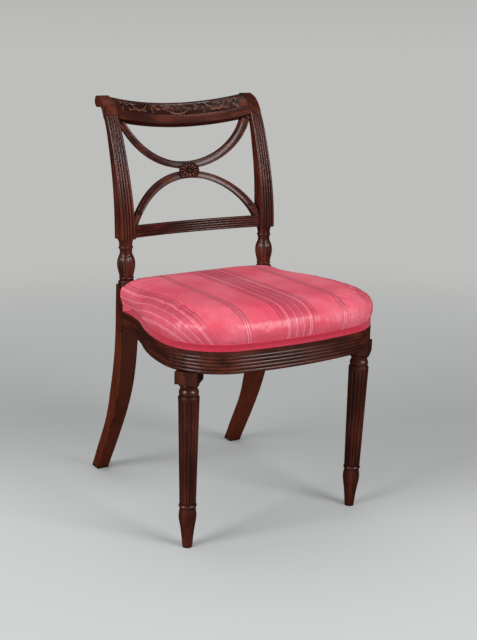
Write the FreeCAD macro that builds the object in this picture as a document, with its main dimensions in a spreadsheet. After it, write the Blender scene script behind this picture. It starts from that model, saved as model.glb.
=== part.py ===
"""Side chair with a scrolled back, two crossing arcs, a bell-shaped seat and reeded front legs.

X runs across the chair, the front faces -Y and Z is up. The origin lies on the floor, under the
middle of the chair. Lengths are millimetres and angles are degrees.
"""
import FreeCAD, Part
import math
import os
from types import SimpleNamespace

Vector = FreeCAD.Vector
UP = Vector(0, 0, 1)
ACROSS = Vector(1, 0, 0)
BACKWARDS = Vector(0, 1, 0)
ORIGIN = Vector(0, 0, 0)

doc = FreeCAD.newDocument("side_chair")
sheet = doc.addObject("Spreadsheet::Sheet", "Sizes")

SIZES = (
    ("overall_height", 820, "floor to the top of the scrolls"),
    ("overall_depth", 571, "front of the cushion to the heels"),
    ("cushion_swell", 5, "front of the cushion ahead of the seat rail"),
    ("stile_half_span", 180, "middle to the outer face of a stile"),
    ("seat_half_span", 181.5, "middle to the outer face of a post at the seat"),
    ("foot_half_span", 185, "middle to the outer face of a rear foot"),
    ("glue_line", 0.15, "space left for glue in a joint"),
    ("overrun", 40, "how far a cutting block runs past the work"),
    # Rear posts
    ("block_top", 445, "floor to the top of the post's square block"),
    ("stile_base", 540, "floor to the bottom of the reeded stile"),
    ("heel_reach", 147, "back of the stile to the heel"),
    ("post_depth", 34, "front to back of the block and the stile's base"),
    ("post_batter", 11, "how far the post's front moves back down to the rail"),
    ("knee_depth", 28, "front to back of the leg below the rail"),
    ("toe_depth", 30, "front to back of the rear foot"),
    ("foot_width", 26, "width of the rear foot"),
    ("shin_width", 31, "width of the rear leg half way up"),
    ("joint_width", 38.5, "width of the post at the seat rail"),
    ("block_width", 32, "width of the block and the stile's base"),
    ("scroll_width", 24.3, "width of the stile at the scroll"),
    ("scroll_reach", 105, "stile's base to the scroll's centre, backwards"),
    ("scroll_radius", 11.5, "radius of the scroll"),
    ("stile_reed_depth", 1.8, "depth of the stile's reeds"),
    ("baluster_radius", 18, "largest radius of the turned part"),
    # Back rails
    ("crest_thickness", 14, "thickness of the crest rail"),
    ("crest_recess", 1.5, "crest rail behind the stile's face"),
    ("back_hollow", 30, "how far the back's rails bow backwards"),
    ("crest_lean", 36, "lean of the axis that the crest bows about, degrees"),
    ("stay_lean", 6, "lean of the stay rail, degrees"),
    ("stay_height", 24.5, "height of the stay rail"),
    ("stay_thickness", 15, "thickness of the stay rail"),
    ("stay_rise", 1.5, "bottom of the stay rail above the stile's base"),
    ("stay_recess", 6, "stay rail behind the stile's front"),
    ("stay_reed_depth", 1.3, "depth of the stay rail's reeds"),
    ("crest_tenon_setback", 5.5, "face of the crest rail to the front of its tenon"),
    ("crest_tenon_thickness", 5, "thickness of the crest rail's tenons"),
    ("crest_tenon_length", 9, "length of the crest rail's tenons"),
    ("stay_tenon_thickness", 7, "thickness of the stay rail's tenons"),
    ("stay_tenon_length", 13, "length of the stay rail's tenons"),
    ("stay_tenon_shoulder", 4, "shoulder above and below the stay rail's tenon"),
    ("arc_width", 14.5, "width of an arc"),
    ("arc_thickness", 10, "thickness of an arc, front to back"),
    ("arc_spacing", 19, "between the arcs' middle lines where they come closest"),
    ("arc_recess", 9, "arcs behind the stile's front"),
    ("arc_lean", 19, "lean of the axis that the arcs bow about, degrees"),
    ("arc_housing", 5, "depth that an arc's end goes into the stile"),
    ("rosette_width", 46, "width of the rosette tablet"),
    ("rosette_height", 32, "height of the rosette tablet"),
    ("rosette_proud", 3.5, "tablet in front of the arcs"),
    ("rosette_seat", 3, "depth of the notch for the tablet in the arcs"),
    ("rosette_tongue_height", 3, "height of the tongue between the arcs"),
    ("rosette_tongue_width", 16, "width of the tongue between the arcs"),
    ("rosette_lean", 15, "lean of the tablet, degrees"),
    # Seat frame
    ("rail_bottom", 354, "floor to the underside of the seat rails"),
    ("rail_show", 41, "height of the moulded face"),
    ("rail_rebate_height", 11, "height of the part under the upholstery"),
    ("rail_rebate_depth", 3.5, "depth of the rebate for the upholstery"),
    ("rail_thickness", 27, "thickness of the front and side rails"),
    ("rail_fillet", 8, "height of the plain band above the reeds"),
    ("rail_reed_depth", 1.5, "depth of the rail's reeds"),
    ("side_flare", 38.5, "how far the seat swells past the posts on each side"),
    ("corner_radius", 120, "radius of the seat's front corners"),
    ("bow_angle", 10, "half angle of the bowed front, degrees"),
    ("lap_angle", 16, "half angle of the corner lap, degrees"),
    ("rear_rail_thickness", 22, "thickness of the rear rail"),
    ("rear_rail_inset", 6, "rear rail in front of the posts' back face"),
    ("rail_tenon_thickness", 10, "thickness of the seat rails' tenons"),
    ("rail_tenon_length", 20, "length of the side rails' tenons"),
    ("rear_tenon_length", 17, "length of the rear rail's tenons"),
    ("rail_tenon_shoulder", 6, "shoulder above and below a seat rail's tenon"),
    ("side_tenon_inset", 8.5, "outer face of a side rail to its tenon"),
    # Front legs
    ("leg_foot_inset", 31, "side of the seat to the axis of a front foot"),
    ("leg_foot_setback", 99, "front of the seat to the axis of the foot"),
    ("leg_top_inset", 29, "side of the seat to the leg's axis at the rail"),
    ("leg_top_setback", 81.3, "front of the seat to the leg's axis at the rail"),
    ("leg_block_size", 42, "side of the leg's square block"),
    ("leg_block_height", 23, "height of the leg's block below the rail"),
    ("leg_radius", 19.75, "radius of the leg at the top of the reeds"),
    ("leg_reed_depth", 1.8, "depth of the leg's reeds"),
    ("leg_tenon_radius", 8.5, "radius of the leg's round tenon"),
    ("leg_tenon_length", 40, "length of the leg's round tenon"),
    # Corner blocks and their screws
    ("block_height", 40, "height of a corner block"),
    ("block_drop", 6, "top of the rails to the top of a corner block"),
    ("rear_block_side", 28, "rear corner block along the side rail"),
    ("rear_block_back", 54, "rear corner block along the rear rail"),
    ("front_block_depth", 24, "depth of a front corner block"),
    ("front_block_angle", 35, "half angle of a front corner block, degrees"),
    ("screw_length", 32, "length of a corner screw"),
    ("screw_radius", 2.1, "radius of a corner screw"),
    ("screw_head_radius", 4.2, "radius of a screw's head"),
    ("screw_head_height", 2.6, "height of a screw's head"),
    ("screw_sink", 2, "depth of a screw's head below the block"),
    # Seat
    ("web_width", 50, "width of a webbing strip"),
    ("web_thickness", 1.5, "thickness of a webbing strip"),
    ("web_side_gap", 7, "post to the edge of the nearest strip"),
    ("web_first_setback", 93, "front of the seat to the middle of the first cross strip"),
    ("web_last_gap", 33, "rear rail to the edge of the last cross strip"),
    ("web_margin", 9, "outer line of the seat to the ends of the strips"),
    ("web_step", 9, "length over which a strip climbs over another"),
    ("tack_inset", 17, "outer line of the seat to the tacks"),
    ("tack_spacing", 15, "between the tacks of a strip"),
    ("tack_head_radius", 2.6, "radius of a tack's head"),
    ("tack_head_height", 0.9, "height of a tack's head"),
    ("tack_radius", 0.8, "radius of a tack's shank"),
    ("tack_length", 9, "length of a tack's shank"),
    ("canvas_thickness", 1.2, "thickness of the canvas"),
    ("cover_thickness", 1.2, "thickness of the silk cover"),
    ("cover_gap", 0.2, "between the cover and what it lies on"),
    ("crown_height", 55, "height of the crowned seat above the tape"),
    ("crown_inset", 100, "width of the crown's slope up from the edge"),
    ("tape_height", 12.6, "height of the flat tape"),
    ("tape_thickness", 1.5, "thickness of the flat tape"),
)

for row, (alias, value, meaning) in enumerate(SIZES, start=1):
    sheet.set(f"A{row}", meaning)
    sheet.set(f"B{row}", str(value))
    sheet.setAlias(f"B{row}", alias)
doc.recompute()
s = SimpleNamespace(**{alias: sheet.get(alias) for alias, value, meaning in SIZES})

# Counts
RAIL_REEDS = 5
STAY_REEDS = 5
STILE_REEDS = 5
LEG_REEDS = 14
WEBS_ALONG = 4
WEBS_ACROSS = 4
TACKS_PER_END = 3

# Places that follow from the sizes
FRONT_Y = s.cushion_swell - s.overall_depth / 2
HEEL_Y = s.overall_depth / 2
STILE_BACK_Y = HEEL_Y - s.heel_reach
STILE_FRONT_Y = STILE_BACK_Y - s.post_depth
RAIL_TOP = s.rail_bottom + s.rail_show + s.rail_rebate_height
SHELF = s.rail_bottom + s.rail_show
POST_INNER_X = s.seat_half_span - s.joint_width
REAR_RAIL_BACK_Y = STILE_BACK_Y - s.rear_rail_inset
REAR_RAIL_FRONT_Y = REAR_RAIL_BACK_Y - s.rear_rail_thickness
RAIL_END_X = s.seat_half_span - s.rail_thickness


def line(start, end):
    return Part.makeLine(start, end)


def arc(start, middle, end):
    return Part.Arc(start, middle, end).toShape()


def curve(points):
    smooth = Part.BSplineCurve()
    smooth.interpolate(points)
    return smooth.toShape()


def face(edges):
    return Part.Face(Part.Wire(edges))


def polygon(points):
    return Part.Face(Part.makePolygon(list(points) + [points[0]]))


def mirrored(shape):
    return shape.mirror(ORIGIN, ACROSS)


def bind(item, **links):
    """Ties properties of a document object to cells of the sheet."""
    for name, text in links.items():
        item.setExpression(name.replace("_at_", "."), text)


def piece(label, shape):
    """A sub-part whose form is a free curve or a pattern, made with Part's own functions."""
    item = doc.addObject("Part::Feature", label)
    item.Label = label
    item.Shape = shape
    return item


def reeded(start, end, outward, count, depth):
    """Edges of a row of half-round reeds between two points, with the quirks sunk by the depth."""
    edges = []
    for index in range(count):
        low = start + (end - start) * (index / count) - outward * depth
        high = start + (end - start) * ((index + 1) / count) - outward * depth
        crown = (low + high) * 0.5 + outward * depth
        edges.append(arc(low, crown, high))
    return edges


# The seat's outer line: the right half, from the rear post round to the middle of the front.
# Each stretch is a line, or an arc about a centre. The outward direction is an angle from +X.
FLARE_LENGTH_SHARE = 0.907
FLARE_SPLIT_SHARE = 0.534


def stretch(start, outward, centre=None, sweep=0.0, along=None):
    return SimpleNamespace(start=start, outward=outward, centre=centre, sweep=sweep, along=along)


def direction(angle):
    return Vector(math.cos(math.radians(angle)), math.sin(math.radians(angle)), 0)


def seat_line():
    half_width = s.seat_half_span + s.side_flare
    corner_x = half_width - s.corner_radius
    half_bow = math.radians(s.bow_angle / 2)
    corner_y = FRONT_Y + s.corner_radius + corner_x * math.tan(half_bow)
    room = STILE_FRONT_Y + s.post_batter - corner_y
    flare_length = room * FLARE_LENGTH_SHARE
    turn = 2 * math.atan2(s.side_flare, flare_length)
    radii = flare_length / math.sin(turn)
    bulge_radius = radii * FLARE_SPLIT_SHARE
    waist_radius = radii - bulge_radius
    turn = math.degrees(turn)
    waist_start = Vector(s.seat_half_span, corner_y + flare_length, 0)
    waist_centre = waist_start + ACROSS * waist_radius
    bulge_centre = Vector(half_width - bulge_radius, corner_y, 0)
    corner_centre = Vector(corner_x, corner_y, 0)
    corner_turn = 90 - s.bow_angle
    bow_centre = Vector(0, corner_y + corner_x / math.tan(math.radians(s.bow_angle)), 0)
    return (
        stretch(waist_start, 0, waist_centre, turn),
        stretch(bulge_centre + direction(turn) * bulge_radius, turn, bulge_centre, -turn),
        stretch(corner_centre + ACROSS * s.corner_radius, 0, corner_centre, -corner_turn),
        stretch(corner_centre + direction(-corner_turn) * s.corner_radius, -corner_turn, bow_centre,
                -s.bow_angle),
    )


WAIST, BULGE, CORNER, BOW = seat_line()


def side_run(rear_y):
    """The straight stretch beside the post, from a place at the rear to the waist."""
    start = Vector(s.seat_half_span, rear_y, 0)
    return stretch(start, 0, along=WAIST.start - start)


def part_of(run, first, last):
    """The part of an arc between two turns from its start, in degrees."""
    swing = FreeCAD.Rotation(UP, first)
    start = run.centre + swing.multVec(run.start - run.centre)
    return stretch(start, run.outward + first, run.centre, last - first)


def point_on(run, share, inset=0.0, height=0.0):
    start = run.start - direction(run.outward) * inset
    if run.centre is None:
        place = start + run.along * share
    else:
        swing = FreeCAD.Rotation(UP, run.sweep * share)
        place = run.centre + swing.multVec(start - run.centre)
    return Vector(place.x, place.y, height)


def swept(section, run):
    """Carries a section, drawn with +X outward, along one stretch of the seat's line."""
    placed = section.copy()
    placed.Placement = FreeCAD.Placement(run.start, FreeCAD.Rotation(UP, run.outward))
    if run.centre is None:
        return placed.extrude(run.along)
    return placed.revolve(run.centre, UP, run.sweep)


def joined(solids):
    whole = solids[0]
    if len(solids) > 1:
        whole = solids[0].fuse(list(solids[1:]))
    return whole.removeSplitter()


def seat_outline(inset, height, rear_y):
    """Closed line round the seat, drawn in from the outer line by the inset."""
    rear = Vector(s.seat_half_span - inset, rear_y - inset, height)
    right = [line(rear, point_on(WAIST, 0, inset, height))]
    for run in (WAIST, BULGE, CORNER, BOW):
        right.append(arc(point_on(run, 0, inset, height), point_on(run, 0.5, inset, height),
                         point_on(run, 1, inset, height)))
    left = [mirrored(edge) for edge in reversed(right)]
    closing = line(Vector(-rear.x, rear.y, height), rear)
    return Part.Wire(Part.__sortEdges__(right + left + [closing]))


def seat_prism(inset, bottom, top, rear_y):
    return Part.Face(seat_outline(inset, bottom, rear_y)).extrude(UP * (top - bottom))


# Seat rails
def rail_section():
    """Outward is +X and the outer line is at zero: reeds, a plain band and the rebate."""
    reed_top = SHELF - s.rail_fillet
    bottom = Vector(0, 0, s.rail_bottom)
    quirk = Vector(-s.rail_reed_depth, 0, s.rail_bottom)
    edges = reeded(bottom, Vector(0, 0, reed_top), ACROSS, RAIL_REEDS, s.rail_reed_depth)
    corners = (
        Vector(-s.rail_reed_depth, 0, reed_top),
        Vector(0, 0, reed_top),
        Vector(0, 0, SHELF),
        Vector(-s.rail_rebate_depth, 0, SHELF),
        Vector(-s.rail_rebate_depth, 0, RAIL_TOP),
        Vector(-s.rail_thickness, 0, RAIL_TOP),
        Vector(-s.rail_thickness, 0, s.rail_bottom),
        quirk,
    )
    for start, end in zip(corners, corners[1:]):
        edges.append(line(start, end))
    return face(edges)


def half_section(section, bottom, top):
    window = polygon((
        Vector(-s.rail_thickness - s.overrun, 0, bottom),
        Vector(s.overrun, 0, bottom),
        Vector(s.overrun, 0, top),
        Vector(-s.rail_thickness - s.overrun, 0, top),
    ))
    return section.common(window).Faces[0]


def leg_axis(height):
    """The front leg's axis leans forward and a little outward as it rises."""
    share = height / s.rail_bottom
    inset = s.leg_foot_inset + (s.leg_top_inset - s.leg_foot_inset) * share
    setback = s.leg_foot_setback + (s.leg_top_setback - s.leg_foot_setback) * share
    return Vector(s.seat_half_span + s.side_flare - inset, FRONT_Y + setback, height)


LEG_TOP = leg_axis(s.rail_bottom)
LAP_TURN = math.degrees(math.atan2(LEG_TOP.y - CORNER.centre.y, LEG_TOP.x - CORNER.centre.x))
LAP_HEIGHT = (s.rail_bottom + RAIL_TOP) / 2


def leg_tenon(grow):
    base = Vector(LEG_TOP.x, LEG_TOP.y, s.rail_bottom - s.leg_block_height / 2)
    length = s.leg_tenon_length + s.leg_block_height / 2 + grow
    return Part.makeCylinder(s.leg_tenon_radius + grow, length, base, UP)


def post_front_wedge(gap):
    """Everything behind the post's sloping front face at the seat, moved forward by the gap."""
    low = STILE_FRONT_Y + s.post_batter - gap
    slope = s.post_batter / (s.block_top - s.rail_bottom)
    wide = s.overrun + s.joint_width
    bottom = s.rail_bottom - s.overrun
    corners = (
        Vector(POST_INNER_X - wide, low + slope * s.overrun, bottom),
        Vector(POST_INNER_X - wide, low + s.heel_reach, bottom),
        Vector(POST_INNER_X - wide, low + s.heel_reach, s.block_top),
        Vector(POST_INNER_X - wide, STILE_FRONT_Y - gap, s.block_top),
    )
    return polygon(corners).extrude(ACROSS * (wide + wide + s.joint_width))


def side_tenon(grow):
    """Tenon of the right side rail, in the post's front."""
    end = STILE_FRONT_Y + s.post_batter + s.rail_tenon_length + grow
    start = STILE_FRONT_Y - s.rail_tenon_length / 2
    height = s.rail_show + s.rail_rebate_height - 2 * s.rail_tenon_shoulder + 2 * grow
    corner = Vector(
        s.seat_half_span - s.side_tenon_inset - s.rail_tenon_thickness - grow,
        start,
        s.rail_bottom + s.rail_tenon_shoulder - grow,
    )
    return Part.makeBox(s.rail_tenon_thickness + 2 * grow, end - start, height, corner)


def side_rail():
    section = rail_section()
    upper = half_section(section, LAP_HEIGHT, RAIL_TOP + s.overrun)
    lap_start = LAP_TURN + s.lap_angle
    lap_end = LAP_TURN - s.lap_angle
    rear_y = STILE_FRONT_Y + s.post_batter
    body = joined([
        swept(section, side_run(rear_y)),
        swept(section, WAIST),
        swept(section, BULGE),
        swept(section, part_of(CORNER, 0, lap_start)),
        swept(upper, part_of(CORNER, lap_start, lap_end)),
    ])
    body = body.cut(post_front_wedge(s.glue_line))
    body = body.fuse(side_tenon(0)).removeSplitter()
    return body.cut(leg_tenon(s.glue_line))


def front_rail():
    section = rail_section()
    lower = half_section(section, s.rail_bottom - s.overrun, LAP_HEIGHT)
    lap_start = LAP_TURN + s.lap_angle
    lap_end = LAP_TURN - s.lap_angle
    half = joined([
        swept(lower, part_of(CORNER, lap_start, lap_end)),
        swept(section, part_of(CORNER, lap_end, CORNER.sweep)),
        swept(section, BOW),
    ])
    half = half.cut(leg_tenon(s.glue_line))
    return half.fuse(mirrored(half)).removeSplitter()


def box(name, length, width, height, x, y, z):
    """A block whose sizes and place are bound to the sheet."""
    block = doc.addObject("Part::Box", name)
    bind(block, Length=length, Width=width, Height=height,
         Placement_at_Base_at_x=x, Placement_at_Base_at_y=y, Placement_at_Base_at_z=z)
    return block


REAR_RAIL_FRONT_TEXT = (
    "Sizes.overall_depth / 2 - Sizes.heel_reach - Sizes.rear_rail_inset - Sizes.rear_rail_thickness"
)
RAIL_HEIGHT_TEXT = "Sizes.rail_show + Sizes.rail_rebate_height"
REAR_RAIL_HALF_TEXT = "Sizes.seat_half_span - Sizes.joint_width - Sizes.glue_line"


def rear_rail():
    """A plain rail between the posts with a tenon at each end."""
    bar = box(
        "rear_rail_bar",
        f"2 * ({REAR_RAIL_HALF_TEXT})",
        "Sizes.rear_rail_thickness",
        RAIL_HEIGHT_TEXT,
        f"-({REAR_RAIL_HALF_TEXT})",
        REAR_RAIL_FRONT_TEXT,
        "Sizes.rail_bottom",
    )
    tenons = box(
        "rear_rail_tenons",
        "2 * (Sizes.seat_half_span - Sizes.joint_width + Sizes.rear_tenon_length)",
        "Sizes.rail_tenon_thickness",
        f"{RAIL_HEIGHT_TEXT} - 2 * Sizes.rail_tenon_shoulder",
        "-(Sizes.seat_half_span - Sizes.joint_width + Sizes.rear_tenon_length)",
        f"{REAR_RAIL_FRONT_TEXT} + (Sizes.rear_rail_thickness - Sizes.rail_tenon_thickness) / 2",
        "Sizes.rail_bottom + Sizes.rail_tenon_shoulder",
    )
    rail = doc.addObject("Part::MultiFuse", "rear_rail_blank")
    rail.Shapes = [bar, tenons]
    rail.Refine = True
    return rail


def rear_tenon_mortise():
    """The space for the rear rail's right tenon in the post."""
    start = POST_INNER_X - s.overrun
    end = POST_INNER_X + s.rear_tenon_length + s.glue_line
    middle = REAR_RAIL_FRONT_Y + s.rear_rail_thickness / 2
    width = s.rail_tenon_thickness + 2 * s.glue_line
    bottom = s.rail_bottom + s.rail_tenon_shoulder - s.glue_line
    height = s.rail_show + s.rail_rebate_height - 2 * s.rail_tenon_shoulder + 2 * s.glue_line
    return Part.makeBox(end - start, width, height, Vector(start, middle - width / 2, bottom))


# Rear posts: a sabre leg, a square block, a turned baluster and a scrolled stile from one plank.
# Each pair is a share of the splay and a share of the rail's height.
LEG_FRONT_SHARES = ((1, 0), (0.607, 0.249), (0.379, 0.404), (0.129, 0.621), (0.021, 0.816), (0, 1))
LEG_BACK_SHARES = (
    (1, 0), (0.93, 0.045), (0.676, 0.212), (0.437, 0.37), (0.232, 0.585), (0.085, 0.788), (0, 1),
)
SHIN_HEIGHT_SHARE = 0.5
# Each row is the height and radius of the turned part, as shares of its height and largest radius.
BALUSTER_SHARES = (
    ((0, 0.98), (0.02, 1.0), (0.045, 0.98)),
    ((0.045, 0.98), (0.055, 0.9)),
    ((0.055, 0.9), (0.075, 0.96), (0.095, 0.9)),
    ((0.095, 0.9), (0.13, 0.73)),
    ((0.13, 0.73), (0.16, 0.84), (0.19, 0.75)),
    ((0.19, 0.75), (0.32, 0.9), (0.45, 1.0), (0.55, 0.95), (0.64, 0.79), (0.79, 0.74)),
    ((0.79, 0.74), (0.82, 0.8), (0.85, 0.74)),
    ((0.85, 0.74), (0.92, 0.76), (1.0, 0.89)),
)
# Stations up the stile: shares of its height and of the scroll's reach, the lean of its face in
# degrees, and its depth as a share of the post's depth.
STILE_STATION_SHARES = (
    (0, 0, 0, 1),
    (0.179, 0.014, 4, 0.95),
    (0.336, 0.076, 11, 0.83),
    (0.568, 0.233, 17, 0.66),
    (0.729, 0.381, 22, 0.54),
    (0.8, 0.462, 26, 0.48),
    (0.868, 0.557, 31, 0.45),
    (0.925, 0.657, 39, 0.44),
    (0.968, 0.781, 54, 0.44),
    (0.989, 0.895, 68, 0.47),
    (0.9985, 0.97, 84, 0.36),
)
REEDED_STATIONS = 7


def stile_inner_x(height):
    """The stile's inner face is a plane that leans out as the stile narrows."""
    share = (height - s.stile_base) / (s.overall_height - s.stile_base)
    return s.stile_half_span - s.block_width + (s.block_width - s.scroll_width) * share


def between_stiles(reach):
    """The space between the stiles' inner faces, widened on each side by the reach."""
    low = s.stile_base - s.overrun
    high = s.overall_height + s.overrun
    front = STILE_FRONT_Y - s.post_depth - s.overrun
    back = HEEL_Y + s.overrun
    corners = (
        Vector(-stile_inner_x(low) - reach, front, low),
        Vector(stile_inner_x(low) + reach, front, low),
        Vector(stile_inner_x(high) + reach, front, high),
        Vector(-stile_inner_x(high) - reach, front, high),
    )
    return polygon(corners).extrude(BACKWARDS * (back - front))


def leg_blank():
    """The leg and the block: the side view sawn first, then the front view."""
    joint_front = STILE_FRONT_Y + s.post_batter
    joint_back = joint_front + s.knee_depth
    toe = HEEL_Y - s.toe_depth
    front = [
        Vector(0, joint_front + (toe - joint_front) * splay, s.rail_bottom * rise)
        for splay, rise in LEG_FRONT_SHARES
    ]
    back = [
        Vector(0, joint_back + (HEEL_Y - joint_back) * splay, s.rail_bottom * rise)
        for splay, rise in LEG_BACK_SHARES
    ]
    block_front = Vector(0, STILE_FRONT_Y, s.block_top)
    block_back = Vector(0, STILE_BACK_Y, s.block_top)
    side_view = face([
        curve(front),
        line(front[-1], block_front),
        line(block_front, block_back),
        line(block_back, back[-1]),
        curve(back),
        line(back[0], front[0]),
    ])
    slab = side_view.extrude(ACROSS * (s.foot_half_span + s.overrun))
    shin_height = s.rail_bottom * SHIN_HEIGHT_SHARE
    outer_shin = s.foot_half_span + (s.seat_half_span - s.foot_half_span) * SHIN_HEIGHT_SHARE
    y = STILE_FRONT_Y - s.overrun
    inner_foot = Vector(s.foot_half_span - s.foot_width, y, 0)
    inner_shin = Vector(outer_shin - s.shin_width, y, shin_height)
    inner_joint = Vector(POST_INNER_X, y, s.rail_bottom)
    inner_rail_top = Vector(POST_INNER_X, y, RAIL_TOP)
    inner_block = Vector(s.stile_half_span - s.block_width, y, s.block_top)
    outer_block = Vector(s.stile_half_span, y, s.block_top)
    outer_seat = Vector(s.seat_half_span, y, s.rail_bottom)
    outer_foot = Vector(s.foot_half_span, y, 0)
    front_view = face([
        arc(inner_foot, inner_shin, inner_joint),
        line(inner_joint, inner_rail_top),
        line(inner_rail_top, inner_block),
        line(inner_block, outer_block),
        line(outer_block, outer_seat),
        line(outer_seat, outer_foot),
        line(outer_foot, inner_foot),
    ])
    return slab.common(front_view.extrude(BACKWARDS * (s.overall_depth + s.overrun)))


def baluster():
    height = s.stile_base - s.block_top
    edges = []
    for run in BALUSTER_SHARES:
        points = [Vector(s.baluster_radius * r, 0, s.block_top + height * z) for z, r in run]
        if len(points) == 2:
            edges.append(line(*points))
        elif len(points) == 3:
            edges.append(arc(*points))
        else:
            edges.append(curve(points))
    top = edges[-1].Vertexes[-1].Point
    bottom = edges[0].Vertexes[0].Point
    edges.append(line(top, Vector(0, 0, top.z)))
    edges.append(line(Vector(0, 0, top.z), Vector(0, 0, bottom.z)))
    edges.append(line(Vector(0, 0, bottom.z), bottom))
    turned = face(edges).revolve(ORIGIN, UP, 360)
    turned.translate(Vector(s.stile_half_span - s.block_width / 2,
                            (STILE_FRONT_Y + STILE_BACK_Y) / 2, 0))
    return turned


def stile_station(station, with_reeds):
    rise, reach, lean, depth = station
    lean = math.radians(lean)
    front_y = STILE_FRONT_Y + s.scroll_reach * reach
    front_z = s.stile_base + (s.overall_height - s.stile_base) * rise
    inward = Vector(0, math.cos(lean), -math.sin(lean))
    back = Vector(0, front_y, front_z) + inward * (s.post_depth * depth)
    inner_front = Vector(stile_inner_x(front_z), front_y, front_z)
    outer_front = Vector(s.stile_half_span, front_y, front_z)
    inner_back = Vector(stile_inner_x(back.z), back.y, back.z)
    outer_back = Vector(s.stile_half_span, back.y, back.z)
    if with_reeds:
        edges = reeded(inner_front, outer_front, -inward, STILE_REEDS, s.stile_reed_depth)
        inner_start = edges[0].Vertexes[0].Point
        outer_start = edges[-1].Vertexes[-1].Point
    else:
        edges = [line(inner_front, outer_front)]
        inner_start = inner_front
        outer_start = outer_front
    edges.append(line(outer_start, outer_back))
    edges.append(line(outer_back, inner_back))
    edges.append(line(inner_back, inner_start))
    return Part.Wire(edges)


def stile():
    lower = [stile_station(station, True) for station in STILE_STATION_SHARES[:REEDED_STATIONS]]
    upper = [stile_station(station, False) for station in STILE_STATION_SHARES[REEDED_STATIONS - 1:]]
    shaft = Part.makeLoft(lower, True, False)
    top = Part.makeLoft(upper, True, False)
    eye_y = STILE_FRONT_Y + s.scroll_reach
    eye_z = s.overall_height - s.scroll_radius
    inner = stile_inner_x(s.overall_height)
    eye = Part.makeCylinder(s.scroll_radius, s.stile_half_span - inner,
                            Vector(inner, eye_y, eye_z), ACROSS)
    return shaft.fuse([top, eye])


# Back rails: each is a plank bowed about a leaning axis in front of the chair
def bow_radius():
    half_chord = stile_inner_x(s.overall_height)
    return (half_chord ** 2 + s.back_hollow ** 2) / (2 * s.back_hollow)


def hollow_at(x):
    """How far forward a bowed rail has come at a distance from the middle."""
    return bow_radius() - math.sqrt(bow_radius() ** 2 - x ** 2)


def leaning(lean):
    """Directions along a leaning face and square to it, towards the back."""
    lean = math.radians(lean)
    return Vector(0, math.sin(lean), math.cos(lean)), Vector(0, math.cos(lean), -math.sin(lean))


def bowed(section, front_point, lean):
    """Revolves a section at the middle of the back about an axis in front of it."""
    axis, backwards = leaning(lean)
    centre = front_point - backwards * bow_radius()
    half_turn = math.degrees(math.asin(s.stile_half_span / bow_radius()))
    placed = section.copy()
    placed.rotate(centre, axis, -half_turn)
    return placed.revolve(centre, axis, 2 * half_turn)


def slab_section(low, high, thickness):
    """Rectangle in the side view, centred on the line between two points."""
    along = (high - low).normalize()
    aside = Vector(0, along.z, -along.y) * (thickness / 2)
    return polygon((low - aside, low + aside, high + aside, high - aside))


def beyond_plane(point, lean, upper):
    """A block on one side of the plane through a point that is square to a leaning face."""
    reach = s.overall_height
    block = Part.makeBox(2 * reach, 2 * reach, reach, Vector(-reach, -reach, 0 if upper else -reach))
    block.rotate(ORIGIN, ACROSS, -lean)
    block.translate(point)
    return block


def scroll_place(station, depth):
    """A point some way into the wood from the stile's front line."""
    rise, reach, lean = station[:3]
    _, backwards = leaning(lean)
    place = Vector(
        0,
        STILE_FRONT_Y + s.scroll_reach * reach,
        s.stile_base + (s.overall_height - s.stile_base) * rise,
    )
    return place + backwards * depth


def scrolled_rows(stations, shift, near, far):
    """Side view of a plank that follows the stile's curve between two depths below its face."""
    front = [scroll_place(station, near) + shift for station in stations]
    back = [scroll_place(station, far) + shift for station in stations]
    return front, back


def scrolled(stations, shift, near, far):
    front, back = scrolled_rows(stations, shift, near, far)
    return face([
        curve(front),
        line(front[-1], back[-1]),
        curve(back),
        line(back[0], front[0]),
    ])


# The crest rail rolls over at its top as the stiles do. Each row is a share of the stile's
# height, a share of the scroll's reach and the lean of the face in degrees.
CREST_STATION_SHARES = (
    (0.8535, 0.535, s.crest_lean), (0.925, 0.657, 41), (0.968, 0.781, 54), (0.989, 0.895, 68),
    (0.9985, 0.97, 84),
)
CREST_TENON_SHARES = ((0.878, 0.574, 35), (0.925, 0.657, 41), (0.968, 0.781, 54), (0.984, 0.868, 64))
_, CREST_BACKWARDS = leaning(s.crest_lean)
CREST_SHIFT = CREST_BACKWARDS * hollow_at(stile_inner_x(s.overall_height))
CREST_EDGE = scroll_place(CREST_STATION_SHARES[0], s.crest_recess) + CREST_SHIFT


def crest_tenons(grow):
    near = s.crest_recess + s.crest_tenon_setback
    far = near + s.crest_tenon_thickness
    front, back = scrolled_rows(CREST_TENON_SHARES, CREST_SHIFT, near - grow, far + grow)
    for row in (front, back):
        row[0] += (row[0] - row[1]).normalize() * grow
        row[-1] += (row[-1] - row[-2]).normalize() * grow
    section = polygon(front + back[::-1])
    return bowed(section, CREST_EDGE, s.crest_lean).common(between_stiles(s.crest_tenon_length + grow))


def crest_rail():
    far = s.crest_recess + s.crest_thickness
    section = scrolled(CREST_STATION_SHARES, CREST_SHIFT, s.crest_recess, far)
    roll_centre = Vector(0, STILE_FRONT_Y + s.scroll_reach, s.overall_height - s.scroll_radius)
    roll = Part.Circle(roll_centre + CREST_SHIFT, ACROSS, s.scroll_radius - s.crest_recess)
    plank = bowed(section, CREST_EDGE, s.crest_lean)
    plank = plank.fuse(bowed(face([roll.toShape()]), CREST_EDGE, s.crest_lean))
    plank = plank.common(between_stiles(-s.glue_line))
    return plank.fuse(crest_tenons(0)).removeSplitter()


# The stay rail, low in the back
_, STAY_BACKWARDS = leaning(s.stay_lean)
STAY_SHIFT = STAY_BACKWARDS * hollow_at(stile_inner_x(s.stile_base))
STAY_EDGE = Vector(0, STILE_FRONT_Y + s.stay_recess, s.stile_base + s.stay_rise) + STAY_SHIFT


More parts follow.
